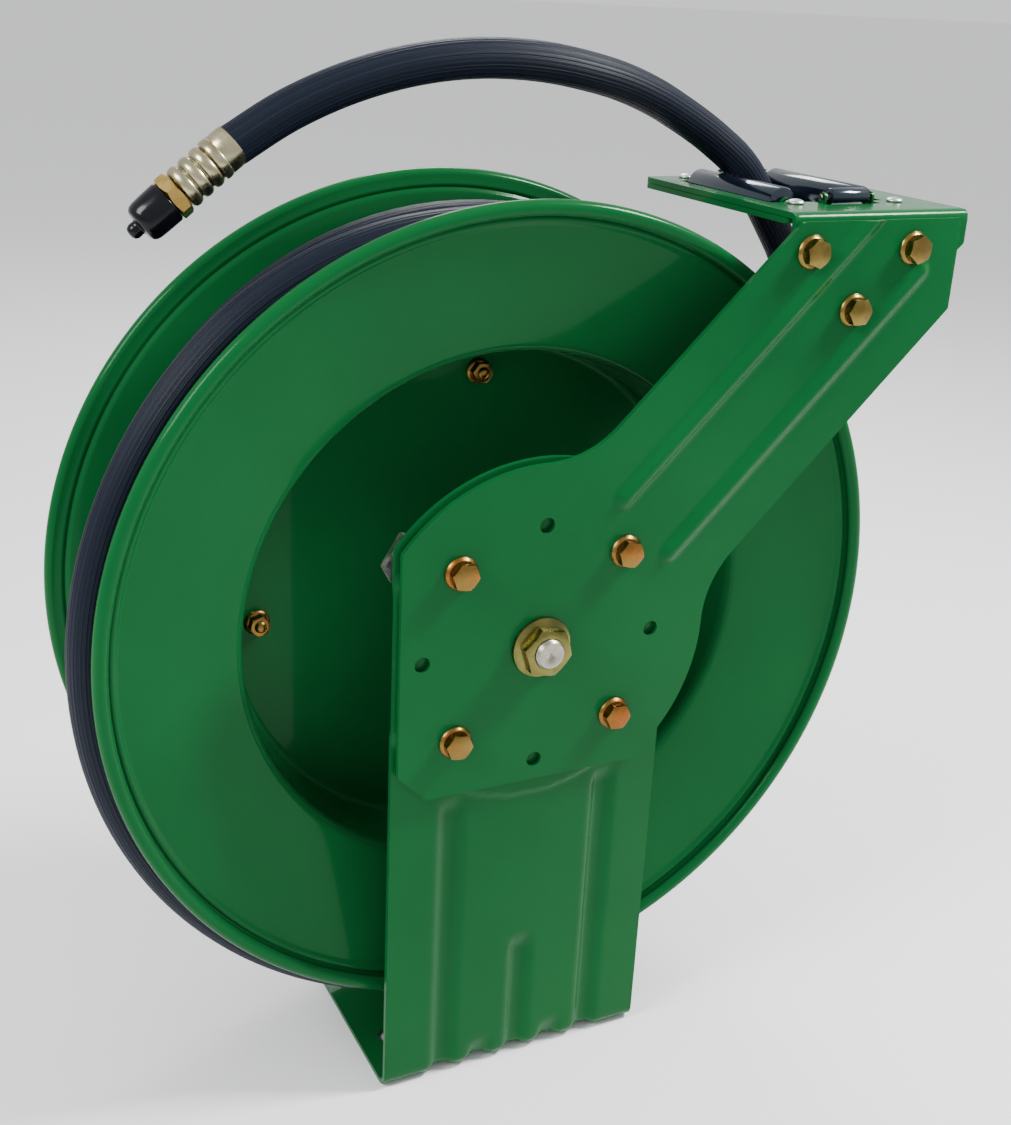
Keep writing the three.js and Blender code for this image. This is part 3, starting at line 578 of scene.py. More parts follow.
def run_points():
    """From the wound end: up a layer, once round the spool, through the rollers and over to the ferrule."""
    points = []
    r_low = LAYERS[2][0]
    y_low = LAYERS[2][1][3]
    for degrees in range(int(LAST_CLIMB[0]), 361, 10):
        climb = smoothstep(degrees, *LAST_CLIMB)
        across = smoothstep(degrees, 245, 360)
        y = y_low + (OUTER_Y - y_low) * climb
        points.append(about_shaft(r_low + (OUTER_R - r_low) * climb, degrees, y + (FREE_Y - y) * across))
    points += [(x, y, SHAFT_Z + z) for x, y, z in reversed(LEAD)]
    for degrees in np.linspace(FREE_ARC["to"], FREE_ARC["from"], 6):
        x, z = polar(FREE_ARC["r"], degrees)
        points.append((FREE_ARC["x"] + x, FREE_Y, SHAFT_Z + FREE_ARC["z"] + z))
    return points


def make_hose():
    wound_path = smooth_path(wound_points(), 10)
    piece = Build().tube(wound_path, HOSE_D / 2, 20)
    coil = piece.finish("hose_wound", "hose_rubber", "spool", ("hose_tail", "hose_coil"))
    metres = [tuple(float(c) * MM for c in p) for p in wound_path]
    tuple(metres[0])
    length_of(wound_path)
    run_path = smooth_path(run_points(), 6)
    piece = Build().tube(run_path, HOSE_D / 2, 120, 30, 0.26)
    run = piece.finish("hose_run_line", "hose_rubber", "base", "hose_run", sharp=60)
    return run, run_path


def end_place():
    """Frame at the hose's free end, local Z outwards."""
    x, z = polar(FREE_ARC["r"], FREE_ARC["from"])
    a = math.radians(FREE_ARC["from"] + END_TILT)
    origin = (FREE_ARC["x"] + x, FREE_Y, SHAFT_Z + FREE_ARC["z"] + z)
    return along(origin, (-math.sin(a), 0, math.cos(a)), (0, 1, 0))


def ridge(r, height, start, end, steps=8):
    """A rounded ridge of a turned profile."""
    points = []
    for k in range(steps + 1):
        a = math.pi * k / steps
        points.append((r + height * math.sin(a), (start + end) / 2 - (end - start) / 2 * math.cos(a)))
    return points


def make_hose_end():
    place = end_place()
    ferrule = [(0, -4), (10.05, -4), (10.2, -3.2), (10.35, 0), (10.3, 4.2)] + ridge(10.1, 0.6, 4.6, 9.2)
    for start in (9.8, 16.5, 23.2):
        ferrule += ridge(8.5, 2.2, start, start + 6.3)
    ferrule += [(0, 29.6)]
    shell = Build().turned(ferrule, place, 64).finish(
        "ferrule", "yellow_zinc", "base", "hose_ferrule", sharp=50, material=PALE_ZINC)
    hexes = Build().hexagon(20, 30.2, 36.6, place, both=True)
    threads = [(0, 36.4)] + [(r - 0.1, h) for r, h in thread(7.2, 36.4, 49.6, 1.3, 0.6)]
    hexes.turned(threads + [(5, 49.7), (5, 44), (0, 44)], place, 48)
    fitting = hexes.finish("fitting", "brass", "base", "hose_fitting")
    cap = [(7.5, 37.1), (9.9, 37.0), (10.4, 37.4), (10.5, 38.4), (10.35, 46), (10.1, 50.6), (9.6, 52.6),
           (8.6, 54.0), (7.2, 54.7), (5.0, 54.9), (4.1, 55.2), (3.7, 55.9), (3.9, 57.2), (3.8, 58.6),
           (3.0, 60.1), (1.6, 60.8), (0, 60.95)]
    dust = Build().turned([(0, 50.6), (7.5, 50.6)] + cap, place, 64).finish(
        "cap", "cap_vinyl", "dust_cap", "dust_cap", sharp=55)
    return [shell, fitting, dust]


make_camera()
hose_run, run_path = make_hose()
hose_end = make_hose_end()
run_metres = [tuple(float(c) * MM for c in p) for p in run_path]
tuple(run_metres[0])
length_of(run_path)


# ---- pressed sheet metal ---------------------------------------------------------------------------
def arc_points(cx, cy, r, start, end, step=3.0):
    count = max(3, round(abs(math.radians(end - start)) * r / step))
    return [(cx + polar(r, a)[0], cy + polar(r, a)[1]) for a in np.linspace(start, end, count + 1)]


def circle(cx, cy, r, sides=32):
    return [(cx + polar(r, 360 * i / sides)[0], cy + polar(r, 360 * i / sides)[1]) for i in range(sides)]


def divided(outline, step):
    """The closed outline with its long edges divided."""
    points = []
    for (ax, ay), (bx, by) in zip(outline, outline[1:] + outline[:1]):
        count = max(1, round(math.hypot(bx - ax, by - ay) / step))
        points += [(ax + (bx - ax) * i / count, ay + (by - ay) * i / count) for i in range(count)]
    return points


def inside(points, outline):
    """For each point, whether it lies inside the closed outline."""
    x, y = points[:, 0], points[:, 1]
    result = np.zeros(len(points), bool)
    for (ax, ay), (bx, by) in zip(outline, outline[1:] + outline[:1]):
        if ay == by:
            continue
        crosses = ((ay > y) != (by > y)) & (x < (bx - ax) * (y - ay) / (by - ay) + ax)
        result ^= crosses
    return result


def near(points, outline, reach):
    """For each point, whether it lies within reach of the outline."""
    result = np.zeros(len(points), bool)
    for a, b in zip(outline, outline[1:] + outline[:1]):
        a, b = np.array(a), np.array(b)
        edge = b - a
        t = np.clip(((points - a) @ edge) / max(1e-9, edge @ edge), 0, 1)
        result |= np.linalg.norm(points - a - t[:, None] * edge, axis=1) < reach
    return result


def pressed_sheet(build, outline, holes, place, thickness, relief=None, step=2.6, creases=()):
    """Adds a sheet cut to outline with holes. place(u, v, depth) gives the point at that depth behind the
    flat face, relief(u, v) is how far the face is pressed in there, and creases are lines kept as mesh edges,
    where the relief can fold it."""
    loops = [divided(outline, step)] + [list(h) for h in holes]
    low = np.min(loops[0], axis=0)
    high = np.max(loops[0], axis=0)
    row = step * math.sqrt(3) / 2
    grid = [(low[0] + (i + 0.5 * (j % 2)) * step, low[1] + j * row)
            for j in range(int((high[1] - low[1]) / row) + 1)
            for i in range(int((high[0] - low[0]) / step) + 1)]
    grid = np.array(grid)
    keep = inside(grid, loops[0])
    for n, loop in enumerate(loops):
        keep &= ~near(grid, loop, 0.62 * step)
        if n:
            keep &= ~inside(grid, loop)
    for crease in creases:
        keep &= ~near(grid, crease + crease[::-1], 0.5 * step)
    grid = grid[keep]
    points = [p for line in [*loops, *creases] for p in line] + [tuple(p) for p in grid]
    edges = []
    first = 0
    for loop in loops:
        edges += [(first + i, first + (i + 1) % len(loop)) for i in range(len(loop))]
        first += len(loop)
    for crease in creases:
        edges += [(first + i, first + i + 1) for i in range(len(crease) - 1)]
        first += len(crease)
    verts, _, faces, _, _, _ = delaunay_2d_cdt([Vector(p) for p in points], edges, [], 0, 1e-6)
    verts = np.array([(v.x, v.y) for v in verts])
    centres = np.array([verts[list(f)].mean(axis=0) for f in faces])
    keep = inside(centres, loops[0])
    for loop in loops[1:]:
        keep &= ~inside(centres, loop)
    faces = [tuple(f) for f, k in zip(faces, keep) if k]
    depth = [relief(u, v) if relief else 0.0 for u, v in verts]
    front = [place(u, v, d) for (u, v), d in zip(verts, depth)]
    back = [place(u, v, d + thickness) for (u, v), d in zip(verts, depth)]
    count = len(verts)
    seen = {}
    for face in faces:
        for a, b in zip(face, face[1:] + face[:1]):
            key = (min(a, b), max(a, b))
            seen[key] = None if key in seen else (a, b)
    walls = [(b, a, a + count, b + count) for a, b in (e for e in seen.values() if e)]
    backs = [tuple(v + count for v in reversed(f)) for f in faces]
    return build.add(front + back, faces + backs + walls)


def folded(origin, travel, outward, fold_at, radius):
    """place() for a sheet that runs along travel and folds a quarter turn away from outward at fold_at."""
    origin, travel, outward = Vector(origin), Vector(travel), Vector(outward)
    across = Vector((1, 0, 0))

    def place(u, v, depth):
        angle = min(max((v - fold_at) / radius, 0.0), math.pi / 2)
        past = max(0.0, v - fold_at - radius * math.pi / 2)
        ahead = min(v, fold_at) + radius * math.sin(angle)
        under = radius * (1 - math.cos(angle)) + past
        normal = outward * math.cos(angle) + travel * math.sin(angle)
        return origin + across * u + travel * ahead - outward * under - normal * depth

    return place


def groove(distance, half_flat, half_all):
    """1 on a groove's floor, falling smoothly to 0 at its edge."""
    return 1 - smoothstep(abs(distance), half_flat, half_all)


GROOVES = [(-44.5, 80.0), (47.0, 80.0), (1.5, 178.0), (-21.5, 243.0), (23.5, 243.0)]
GROOVE_DEPTH = 3.0
GROOVE_END = 330.0


def pedestal_relief(u, v):
    r = math.hypot(u, v)
    depth = -1.5 * (1 - smoothstep(r, PAD_R - 0.7, PAD_R + 0.7))
    for middle, top in GROOVES:
        across = groove(u - middle, 2.2, 9.0)
        if across:
            ends = smoothstep(v, top, top + 14) * (1 - smoothstep(v, GROOVE_END - 14, GROOVE_END))
            depth += GROOVE_DEPTH * across * ends
    return depth


def make_pedestal():
    fold_at = SHAFT_Z - BEND_R
    end = fold_at + BEND_R * math.pi / 2 + BASE_REAR_Y - PED_FACE_Y - BEND_R
    reach = math.sqrt(PED_TOP_R ** 2 - PED_HALF_W ** 2)
    corner = math.degrees(math.atan2(reach, PED_HALF_W))
    w = PED_HALF_W
    foot = filleted([(w, 0, 0), (w, end, 8), (-w, end, 8), (-w, 0, 0)])
    top = arc_points(0, 0, PED_TOP_R, 180 + corner, 360 - corner)
    outline = foot + top
    holes = [circle(0, 0, 8.3, 40)]
    holes += [circle(*polar(BOLT_CIRCLE_R, a), 4.3, 24) for a in (45, 135, 225, 315)]
    holes += [circle(x, fold_at + BEND_R * math.pi / 2 + y - PED_FACE_Y - BEND_R, BASE_HOLE_R)
              for x, y in BASE_HOLES]
    place = folded((0, PED_FACE_Y, SHAFT_Z), (0, 0, -1), FRONT, fold_at, BEND_R)
    piece = Build()
    pad_edge = [arc_points(0, 0, PAD_R + step, 215, 325, 2.4) for step in (-0.7, 0.0, 0.7)]
    pressed_sheet(piece, outline, holes, place, PED_T, pedestal_relief, 2.4, pad_edge)
    for degrees in (45, 135, 225, 315):
        x, z = polar(BOLT_CIRCLE_R, degrees)
        seat = along((x, PED_FACE_Y + PED_T - 1.5, SHAFT_Z + z), REAR)
        piece.hexagon(13, 0.1, 8, seat, bore=4.15)
    piece.finish("pedestal_sheet", "green_paint", "base", "pedestal", bevel=0.5)


def arm_outline():
    reach = math.sqrt(ARM_DISC_R ** 2 - ARM_CUT ** 2)
    corner = math.degrees(math.atan2(reach, ARM_CUT))
    blend = ARM_DISC_R + ARM_FILLET_R
    edge = ARM_HALF_W * math.sqrt(2)
    outline = [(-ARM_CUT, -ARM_CUT + ARM_CORNER), (-ARM_CUT + ARM_CORNER, -ARM_CUT)]
    outline += arc_points(0, 0, ARM_DISC_R, corner - 90, 0)
    outline += arc_points(blend, 0, ARM_FILLET_R, 180, 135)[1:]
    outline += filleted([(ARM_RIGHT_X - 20, ARM_RIGHT_X - 20 - edge, 0), (ARM_RIGHT_X, ARM_RIGHT_X - edge, 2),
                         (ARM_RIGHT_X, ARM_TOP, 2), (ARM_TOP - edge, ARM_TOP, 2),
                         (ARM_TOP - edge - 20, ARM_TOP - 20, 0)], 3)[1:-1]
    outline += arc_points(0, blend, ARM_FILLET_R, -45, -90)
    outline += arc_points(0, 0, ARM_DISC_R, 90, 180 - corner)[1:]
    return outline


def arm_relief(u, v):
    """Two ribs along the slanted arm stand out of its face."""
    s = (u + v) / math.sqrt(2)
    t = (v - u) / math.sqrt(2)
    depth = 0.0
    for middle, start, end in RIBS:
        past = max(0.0, start + 5 - s, s - end + 5)
        depth -= 2.7 * groove(math.hypot(t - middle, past), 1.0, 6.2)
    return depth


def make_arm():
    holes = [circle(0, 0, 8.3, 40)]
    for degrees in range(0, 360, 45):
        holes.append(circle(*polar(BOLT_CIRCLE_R, degrees), 4.3 if degrees % 90 else 4.2, 28))
    holes += [circle(x, z, 4.3, 24) for x, z in BRACKET_BOLTS]
    piece = Build()
    pressed_sheet(piece, arm_outline(), holes, lambda u, v, d: Vector((u, ARM_FACE_Y + d, SHAFT_Z + v)),
                  ARM_T - 0.05, arm_relief, 2.2)
    piece.finish("arm_sheet", "green_paint", "base", "guide_arm", bevel=0.45)


def window(half_long, half_notch, x, notch, round_r=1.5):
    """Window outline with a notch in its front and rear edges; v runs along Y."""
    quarter = [(x[1], 0, 0), (x[1], half_long, round_r), (notch[1], half_long, round_r),
               (notch[1], half_notch, round_r), (notch[0], half_notch, round_r),
               (notch[0], half_long, round_r), (x[0], half_long, round_r), (x[0], 0, 0)]
    top = filleted(quarter, 3)
    bottom = [(a, -b) for a, b in reversed(top[1:-1])]
    return top + bottom


def make_bracket():
    radius = 4.0
    fold_at = BRACKET_TOP - radius
    flat_y = fold_at + radius * math.pi / 2 - BRACKET_LEG_Y - radius
    left, right = BRACKET_X
    end = flat_y + BRACKET_REAR_Y
    outline = filleted([(160, 152, 0), (192, 152, 3), (right, BRACKET_TOP - 18, 2), (right, end, 4),
                        (left, end, 4), (left, BRACKET_TOP - 26, 3), (160, 152, 0)])[:-1]
    notch = (NOTCH_X[0] - 4, NOTCH_X[1] + 4)
    holes = [divided([(u, v + flat_y) for u, v in window(44.5, 55.5, (143.5, 218.5), notch)], 2.5)]
    holes += [circle(x, z, 4.3, 24) for x, z in BRACKET_BOLTS]
    holes += [circle(x, y + flat_y, 2.8, 20) for x, y in FRAME_SCREWS]
    place = folded((0, BRACKET_LEG_Y, SHAFT_Z), (0, 0, 1), FRONT, fold_at, radius)
    piece = Build()
    pressed_sheet(piece, outline, holes, place, BRACKET_T, None, 3.0)
    piece.finish("bracket_sheet", "green_paint", "base", "roller_bracket", bevel=0.5)


def make_frame():
    top = SHAFT_Z + BRACKET_TOP - BRACKET_T - GAP
    left = BRACKET_X[0]
    outline = filleted([(190, -74, 0), (240, -74, 4), (240, BRACKET_REAR_Y, 4), (left, BRACKET_REAR_Y, 4),
                        (left, -74, 4), (190, -74, 0)])[:-1]
    holes = [divided(window(LUG_Y[0], 54.5, (145, 217.5), NOTCH_X, 1.0), 2.5)]
    holes += [circle(x, y, 2.8, 20) for x, y in FRAME_SCREWS]
    piece = Build()
    pressed_sheet(piece, outline, holes, lambda u, v, d: Vector((u, v, top - d)), 3.0, None, 3.2)
    piece.finish("frame_sheet", "green_paint", "base", "roller_frame", bevel=0.5)
    lugs = Build()
    for side in (-1, 1):
        near_y, far_y = sorted((side * LUG_Y[0], side * LUG_Y[1]))
        for x in ROLLER_X:
            rounded = [(3.6, -3.5)] + [polar(3.6, a) for a in range(0, 181, 15)] + [(-3.6, -3.5)]
            place = lambda u, v, d, x=x, y=near_y: Vector((x + u, y + d, ROLLER_Z + v))
            pressed_sheet(lugs, rounded, [circle(0, 0, 2.3, 16)], place, 2.0, None, 1.6)
        tab = [(2.7, -4.5)] + [polar(2.7, a) for a in range(0, 181, 20)] + [(-2.7, -4.5)]
        for x in (NOTCH_X[0] - 2, NOTCH_X[1]):
            place = lambda u, v, d, x=x, y=side * CROSS["y"]: Vector((x + d, y + u, CROSS["z"] + v))
            pressed_sheet(lugs, tab, [circle(0, 0, 1.9, 16)], place, 2.0, None, 1.4)
    lugs.finish("frame_lugs", "green_paint", "base", bevel=0.4)


make_pedestal()
make_arm()
make_bracket()
make_frame()


# ---- fasteners -------------------------------------------------------------------------------------
def flange_bolt(name, x, z, face_y, back_y, turn, material=None):
    """Hexagon flange bolt: head in front of face_y, threaded shank to back_y."""
    sideways = (math.cos(turn), 0, math.sin(turn))
    seat = along((x, face_y - GAP, SHAFT_Z + z), FRONT, sideways)
    flange = [(0, 0), (8.6, 0), (9.0, 0.4), (8.8, 1.1), (7.4, 2.2), (0, 2.2)]
    piece = Build().turned(flange, seat, 56)
    piece.hexagon(13, 1.6, 6.9, seat)
    deep = back_y - face_y + GAP
    shank = [(0, 0.2), (3.9, 0.2), (3.9, -deep + 9)]
    shank += [(r, -h) for r, h in thread(4.0, deep - 8.5, deep - 0.6)]
    piece.turned(shank + [(0, -deep)], seat, 32)
    return piece.finish(name, "yellow_zinc", "base", name.replace("_hex", ""), material=material)


def flange_nut(name, seat, node, across=13.0, r=4.3, tall=7.5, body="base", look="zinc", flange=9.0):
    piece = Build().turned([(r, 0), (flange - 0.4, 0), (flange, 0.4), (flange - 0.2, 1.0),
                            (across / 2 + 0.3, 2.0), (r, 2.0)], seat, 56, loop=True)
    piece.hexagon(across, 1.6, tall, seat, bore=r)
    return piece.finish(name, look, body, node)


def make_fasteners():
    for i, degrees in enumerate((45, 135, 225, 315)):
        x, z = polar(BOLT_CIRCLE_R, degrees)
        flange_bolt(f"arm_bolt_{i + 1}_hex", x, z, ARM_FACE_Y, PED_FACE_Y + PED_T + 7.5, 0.3 + 1.1 * i)
    back = BRACKET_LEG_Y + BRACKET_T
    for i, (x, z) in enumerate(BRACKET_BOLTS):
        flange_bolt(f"bracket_bolt_{i + 1}_hex", x, z, ARM_FACE_Y, back + 10, 0.2 + 0.7 * i, GOLD_ZINC)
        seat = along((x, back + GAP, SHAFT_Z + z), REAR)
        flange_nut(f"bracket_nut_{i + 1}_hex", seat, f"bracket_nut_{i + 1}")
    for i, (x, y) in enumerate(FRAME_SCREWS):
        seat = along((x, y, SHAFT_Z + BRACKET_TOP + GAP), (0, 0, 1))
        dome = [(0, 0), (4.4, 0), (4.5, 0.4)] + [(4.5 * math.cos(a), 0.4 + 1.8 * math.sin(a))
                                                for a in np.linspace(0.1, 1.5, 9)] + [(0, 2.2)]
        piece = Build().turned(dome, seat, 40)
        piece.turned([(0, 0.1), (2.5, 0.1), (2.5, -10.2), (0, -10.6)], seat, 24)
        piece.turned([(0, -6.7), (4.1, -6.7), (4.2, -7.2), (3.9, -9.4), (2.6, -10), (0, -10)], seat, 32)
        piece.finish(f"frame_rivet_{i + 1}", "zinc", "base", f"frame_screw_{i + 1}")


# ---- shaft, hub, latch -------------------------------------------------------------------------------
def at_shaft(y, direction=REAR):
    return along((0, y, SHAFT_Z), direction)


def ring_piece(name, node, look, body, loop, sides=128, sharp=38):
    """Closed ring about the shaft from (radius, y) points."""
    return Build().turned(loop, at_shaft(0), sides, loop=True).finish(name, look, body, node, sharp=sharp)


def make_shaft():
    shoulder = PED_FACE_Y + PED_T + GAP
    front = [(0, -98.0), (0.7, -97.6), (1.5, -98.2), (7.0, -98.2)]
    front += [(r, h) for r, h in thread(8.0, -97.6, shoulder, 1.5, 0.55)][:-1]
    bar = front + [(8.0, shoulder), (14, shoulder), (14, shoulder + 5), (10, shoulder + 5), (10, 73),
                   (9, 74), (4, 74), (4, 42), (0, 42)]
    Build().turned(bar, at_shaft(0), 64).finish("shaft_bar", "steel", "base", "shaft")
    seat = along((0, ARM_FACE_Y - GAP, SHAFT_Z), FRONT, (0.95, 0, 0.3))
    piece = Build().turned([(8.3, 0), (16.0, 0), (16.5, 0.5), (16.3, 1.6), (12.6, 3.2), (8.3, 3.2)], seat, 72,
                           loop=True)
    piece.hexagon(24, 2.6, 10, seat, bore=8.3)
    piece.finish("shaft_nut_hex", "yellow_zinc", "base", "shaft_nut", material=OLIVE_ZINC)
    arbor = [(10.3, 6), (16.6, 6), (17, 6.5), (17, 25.5), (16.6, 26), (10.3, 26)]
    ring_piece("arbor", "spring_arbor", "steel", "base", arbor, 64)


def make_hub():
    ring_piece("hub", "hub_tube", "zinc", "spool",
               [(15, -71), (18.6, -71), (19, -70.6), (19, -9), (21.5, -6.6), (37.5, -6.6), (38, -6),
                (38, -2.6), (19, -2.6), (19, 2.15), (15, 2.15)], 96)
    for side, low, high in (("front", -70, -56), ("rear", -12, 2)):
        section = [(10.3, low), (14.7, low), (14.7, high), (10.3, high)]
        ring_piece(f"{side}_bush", f"bush_{side}", "brass", "spool", section, 64)


def plate_piece(name, node, look, body, outline, holes, low_y, high_y, step=2.5, bevel=0.35):
    piece = Build()
    pressed_sheet(piece, outline, holes, lambda u, v, d: Vector((u, low_y + d, SHAFT_Z + v)),
                  high_y - low_y, None, step)
    return piece.finish(name, look, body, node, bevel=bevel)


def make_latch():
    teeth, outer, root, notch = 12, 60.0, 53.0, 149.0
    outline = []
    for i in range(teeth):
        at = notch + i * 360 / teeth
        outline += [polar(root, at), polar(root, at + 4)]
        outline += [polar(root + (outer - root) * smoothstep(k / 4), at + 4 + 17 * k / 4) for k in (1, 2, 3)]
        outline += [polar(outer, at + 21), polar(outer, at + 25.5), polar(outer, at + 29.7)]
    plate_piece("ratchet", "ratchet_wheel", "zinc", "spool", outline, [circle(0, 0, 19.3, 64)], -67, -63, 4)
    px, pz = -66.0, 50.0
    corners = [(-80.2, 46.8), (-74.8, 37), (-66, 38), (-60, 22), (-56, 23.5), (-57, 42), (-57, 54), (-63, 60),
               (-70, 63.3)]
    ring = corners[-1:] + corners + corners[:1]
    rounded = filleted([(x, z, 1.2) for x, z in ring], 3)[1:-1]
    plate_piece("pawl_plate", "pawl", "zinc", "pawl", rounded, [circle(px, pz, 3.3, 24)], -67, -63, 2.0)
    stud = along((px, 0, SHAFT_Z + pz), REAR)
    Build().turned([(0, -81.2), (3, -81.2), (3, -77.4), (5.5, -77.4), (5.5, -67.3), (3, -67.3), (3, -62.7),
                    (5.1, -62.7), (5.5, -62.3), (5.5, -60.9), (5.1, -60.5), (0, -60.5)], stud, 40).finish(
        "pawl_pin", "zinc", "base", "pawl_stud")
    coil = [(px + polar(7.4, 200 + a)[0], -73.2 + 0.22 * a / 30, SHAFT_Z + pz + polar(7.4, 200 + a)[1])
            for a in np.arange(0, 721, 10)]
    Build().tube(coil, 0.6, 12).finish("pawl_coil", "steel", "base", "pawl_spring")


# ---- spool -------------------------------------------------------------------------------------------
def flange_line():
    """Middle line of the rear spool half's sheet, (radius, y), from the hub to the rolled rim."""
    line = filleted([(20, 1.15, 0), (141.7, 1.15, 5.5), (145.2, 42.55, 5.5), (204.5, 55.2, 6),
                     (209.5, 56.3, 3), (211.8, 58.2, 1.6), (213.6, 57.4, 1.6), (218, 58.5, 0)], 8)[:-1]
    curl = [(FLANGE_R - BEAD_R + 3 * math.cos(a), RIM_Y + 3 * math.sin(a))
            for a in np.radians(np.arange(262, 262 + 285, 15))]
    return line + curl


def make_spool():
    line = flange_line()
    spread = []
    for (r0, y0), (r1, y1) in zip(line, line[1:]):
        count = max(1, round(math.hypot(r1 - r0, y1 - y0) / 8))
        spread += [(r0 + (r1 - r0) * i / count, y0 + (y1 - y0) * i / count) for i in range(count)]
    spread.append(line[-1])
    rear = sheet_loop(spread, 2.0)
    for name, node, side in (("front_half", "spool_front", -1), ("rear_half", "spool_rear", 1)):
        loop = [(r, side * y) for r, y in rear]
        obj = Build().turned(loop, at_shaft(0), 240, loop=True).finish(name, "green_paint", "spool", node)
        if side > 0:
            cut_slot(obj)
    for i, degrees in enumerate(SPOOL_BOLT_AT):
        x, z = polar(SPOOL_BOLT_R, degrees)
        seat = 2.45
        nut_place = along((x, -seat, SHAFT_Z + z), FRONT, (math.cos(0.4 * i), 0, math.sin(0.4 * i)))
        name = f"spool_nut_{i + 1}"
        flange_nut(name + "_hex", nut_place, name, 10, 3.3, 7, "spool", "yellow_zinc", 7)
        place = along((x, seat, SHAFT_Z + z), REAR)
        piece = Build().hexagon(10, 0, 5, place)
        shank = [(0, 0.1), (2.9, 0.1), (2.9, -4)]
        shank += [(r, -h) for r, h in thread(3.0, 4.5, seat + 11.4, 1.0, 0.4)]
        piece.turned(shank + [(0, -seat - 12)], place, 32)
        piece.finish(f"spool_bolt_{i + 1}_hex", "yellow_zinc", "spool", f"spool_bolt_{i + 1}")


def cut_slot(obj):
    """Cuts the slot in the drum wall that the hose comes through."""
    at = math.radians(SWIVEL["at"] + 115.5)
    cutter = Build().box((119, 20.3, -30), (149, 43.2, 30))
    turn = Matrix.Rotation(-at, 4, "Y")
    lifted = [turn @ Vector(p) + Vector((0, 0, SHAFT_Z)) for p in cutter.points]
    mesh = bpy.data.meshes.new("slot_cutter")
    mesh.from_pydata([tuple(p * MM) for p in lifted], [], cutter.faces)
    tool = bpy.data.objects.new("slot_cutter", mesh)
    bpy.context.scene.collection.objects.link(tool)
    cut = obj.modifiers.new("slot", "BOOLEAN")
    cut.operation = "DIFFERENCE"
    cut.object = tool
    cut.solver = "EXACT"
    bpy.context.view_layer.update()
    evaluated = obj.evaluated_get(bpy.context.evaluated_depsgraph_get())
    done = bpy.data.meshes.new_from_object(evaluated)
    obj.modifiers.clear()
    obj.data = done
    bpy.data.objects.remove(tool)


# ---- spring case, swivel, inlet ----------------------------------------------------------------------
def make_rear():
    r, low, high = 95.0, 3.0, 29.0
    middle = filleted([(102.5, low + 0.75, 0), (r - 0.75, low + 0.75, 3), (r - 0.75, high - 0.75, 5),
                       (40, high - 0.75, 8), (34, high - 3.0, 5), (13.6, high - 3.0, 0)], 6)
    ring_piece("case_cover", "spring_case", "green_paint", "spool", sheet_loop(middle, 1.5), 160)
    turns, inner, outer, thick = 6, 21.0, 78.0, 1.2
    spiral = []
    for i in range(72 * turns + 1):
        spiral.append(polar(inner + (outer - inner) * i / (72 * turns), 5.0 * i))
    for i in range(72 * turns, -1, -1):
        spiral.append(polar(inner + thick + (outer - inner) * i / (72 * turns), 5.0 * i))
    count = len(spiral)
    half = count // 2
    piece = Build()
    points = [(x, 6, SHAFT_Z + z) for x, z in spiral] + [(x, 26, SHAFT_Z + z) for x, z in spiral]
    faces = [(i, (i + 1) % count, count + (i + 1) % count, count + i) for i in range(count)]
    for side in (0, count):
        last = side + count - 1
        faces += [(side + i, side + i + 1, last - 1 - i, last - i) for i in range(half - 1)]
    piece.add(points, faces).finish("spring_band", "steel", "spool", "spring_strip", sharp=50)

    front, rear = SWIVEL["y"]
    mid = (front + rear) / 2
    piece = Build().turned([(10.3, front), (25, front), (26, front + 1), (26, rear - 1), (25, rear),
                            (13.2, rear), (13.2, rear - 3.4), (10.3, rear - 3.4)], at_shaft(0), 96, loop=True)
    turn = Matrix.Rotation(math.radians(SWIVEL["at"]), 2)
    across = turn @ Vector((SWIVEL["offset"], 0))
    out = turn @ Vector((0, 1))
    boss = along((across.x, mid, SHAFT_Z + across.y), (out.x, 0, out.y), (0, 1, 0))
    piece.turned([(0, -4), (12, -4), (13, -3), (13, 30), (12, 32), (0, 32)], boss, 64)
    piece.hexagon(25, 32, 38, boss, both=True)
    piece.turned([(0, 37.5), (9.4, 37.5), (9.4, 46), (0, 46)], boss, 40)
    piece.finish("swivel", "brass", "spool", "swivel_body")
    crimp = [(0, 39), (9.0, 39), (11.2, 39.6)]
    for i in range(4):
        crimp += [(12.3, 41 + 6 * i), (12.5, 43 + 6 * i), (12.3, 45 + 6 * i), (11.4, 46 + 6 * i)]
    crimp += [(11.4, 64.5), (10.3, 65), (0, 65)]
    piece = Build().turned(crimp, boss, 64)
    piece.finish("tail_ferrule", "yellow_zinc", "spool", material=PALE_ZINC, sharp=50)
    for i, y in enumerate((front + 5, rear - 5)):
        section = circle(11.4, y, 1.2, 16)
        ring_piece(f"seal_{i + 1}", f"oring_{i + 1}", "seal_rubber", "spool", section, 64)

    piece = Build().turned([(10.3, 64), (14.2, 64), (15, 64.8), (15, 86), (13, 90.4), (8, 92), (0, 92),
                            (0, 84), (7, 84), (7, 74.3), (10.3, 74.3)], at_shaft(0), 72)
    down = along((0, 79, SHAFT_Z), (0, 0, -1), (1, 0, 0))
    piece.turned([(7, 12), (13, 12), (13, 29), (7, 29)], down, 64, loop=True)
    piece.hexagon(27.7, 28, 40, down, bore=7.0, both=True)
    piece.finish("elbow", "brass", "base", "inlet_elbow")


# ---- rollers -----------------------------------------------------------------------------------------
def roller(name, node, centre, direction, r, half, bore):
    loop = [(bore, -half), (r - 1.4, -half), (r - 0.4, -half + 0.4), (r, -half + 1.4), (r, half - 1.4),
            (r - 0.4, half - 0.4), (r - 1.4, half), (bore, half)]
    place = along(centre, direction, (0, 0, 1))
    Build().turned(loop, place, 56, loop=True).finish(name, "black_plastic", node, node)


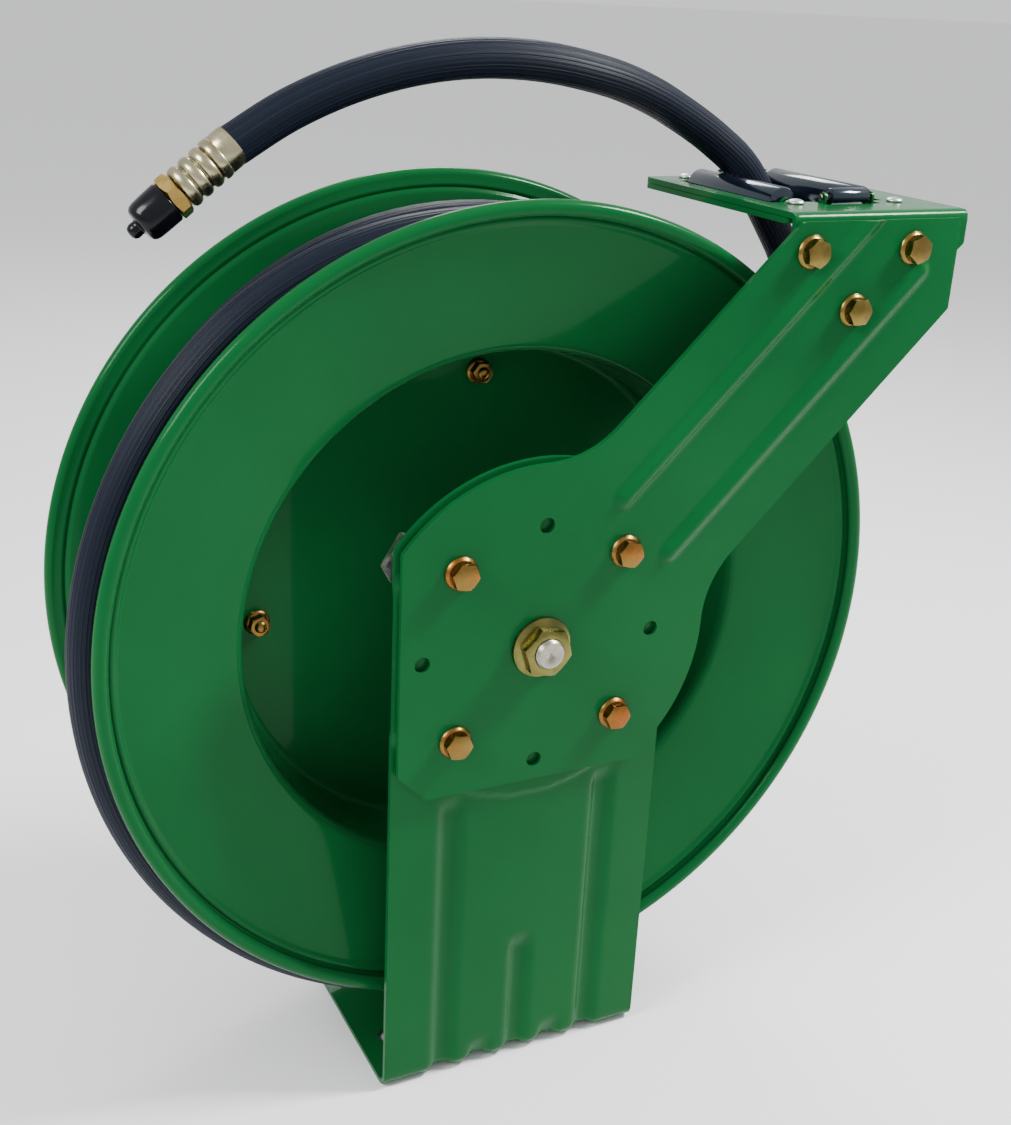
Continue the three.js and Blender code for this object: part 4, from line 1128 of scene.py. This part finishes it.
def pin(name, node, centre, direction, r, half):
    bar = [(0, -half), (r - 0.4, -half), (r, -half + 0.4), (r, half - 0.4), (r - 0.4, half), (0, half)]
    Build().turned(bar, along(centre, direction, (0, 0, 1)), 32).finish(name, "steel", "base", node)


def make_rollers():
    for side, x in zip(("left", "right"), ROLLER_X):
        roller(f"{side}_roller", f"roller_{side}", (x, 0, ROLLER_Z), REAR, ROLLER_R, ROLLER_HALF_L, 2.3)
        pin(f"{side}_pin", f"roller_pin_{side}", (x, 0, ROLLER_Z), REAR, 2.0, 44.2)
    middle = sum(CROSS["x"]) / 2
    half = (CROSS["x"][1] - CROSS["x"][0]) / 2
    for side, y in (("front", -CROSS["y"]), ("rear", CROSS["y"])):
        roller(f"{side}_roller", f"roller_{side}", (middle, y, CROSS["z"]), (1, 0, 0), CROSS["r"], half, 1.9)
        pin(f"{side}_pin", f"roller_pin_{side}", (middle, y, CROSS["z"]), (1, 0, 0), 1.6, 17.7)


make_fasteners()
make_shaft()
make_hub()
make_latch()
make_spool()
make_rear()
make_rollers()


# ---- floor and light ---------------------------------------------------------------------------------
def make_stage():
    mesh = bpy.data.meshes.new("floor")
    mesh.from_pydata([(-90, -90, 0), (90, -90, 0), (90, 90, 0), (-90, 90, 0)], [], [(0, 1, 2, 3)])
    floor = bpy.data.objects.new("floor", mesh)
    bpy.context.scene.collection.objects.link(floor)
    finish = Finish("floor", 0.7)
    finish.shader.inputs["Base Color"].default_value = (0.88, 0.88, 0.88, 1)
    mesh.materials.append(finish.material)
    world = bpy.data.worlds.new("world")
    world.use_nodes = True
    background = world.node_tree.nodes["Background"]
    background.inputs["Color"].default_value = (0.97, 0.98, 1.0, 1)
    background.inputs["Strength"].default_value = 0.95
    bpy.context.scene.world = world
    lights = [("key", (0.98, -0.39, 1.39), 0.3, 42), ("left", (-1.25, -0.3, 1.25), 0.6, 26),
              ("back", (0.65, 1.5, 1.65), 0.6, 18)]
    for name, place, size, power in lights:
        data = bpy.data.lights.new(name, "AREA")
        data.size = size
        data.energy = power
        light = bpy.data.objects.new(name, data)
        aim = Vector((0, 0, 0.26)) - Vector(place)
        light.matrix_world = Matrix.Translation(place) @ aim.to_track_quat("-Z", "Y").to_matrix().to_4x4()
        bpy.context.scene.collection.objects.link(light)


make_stage()
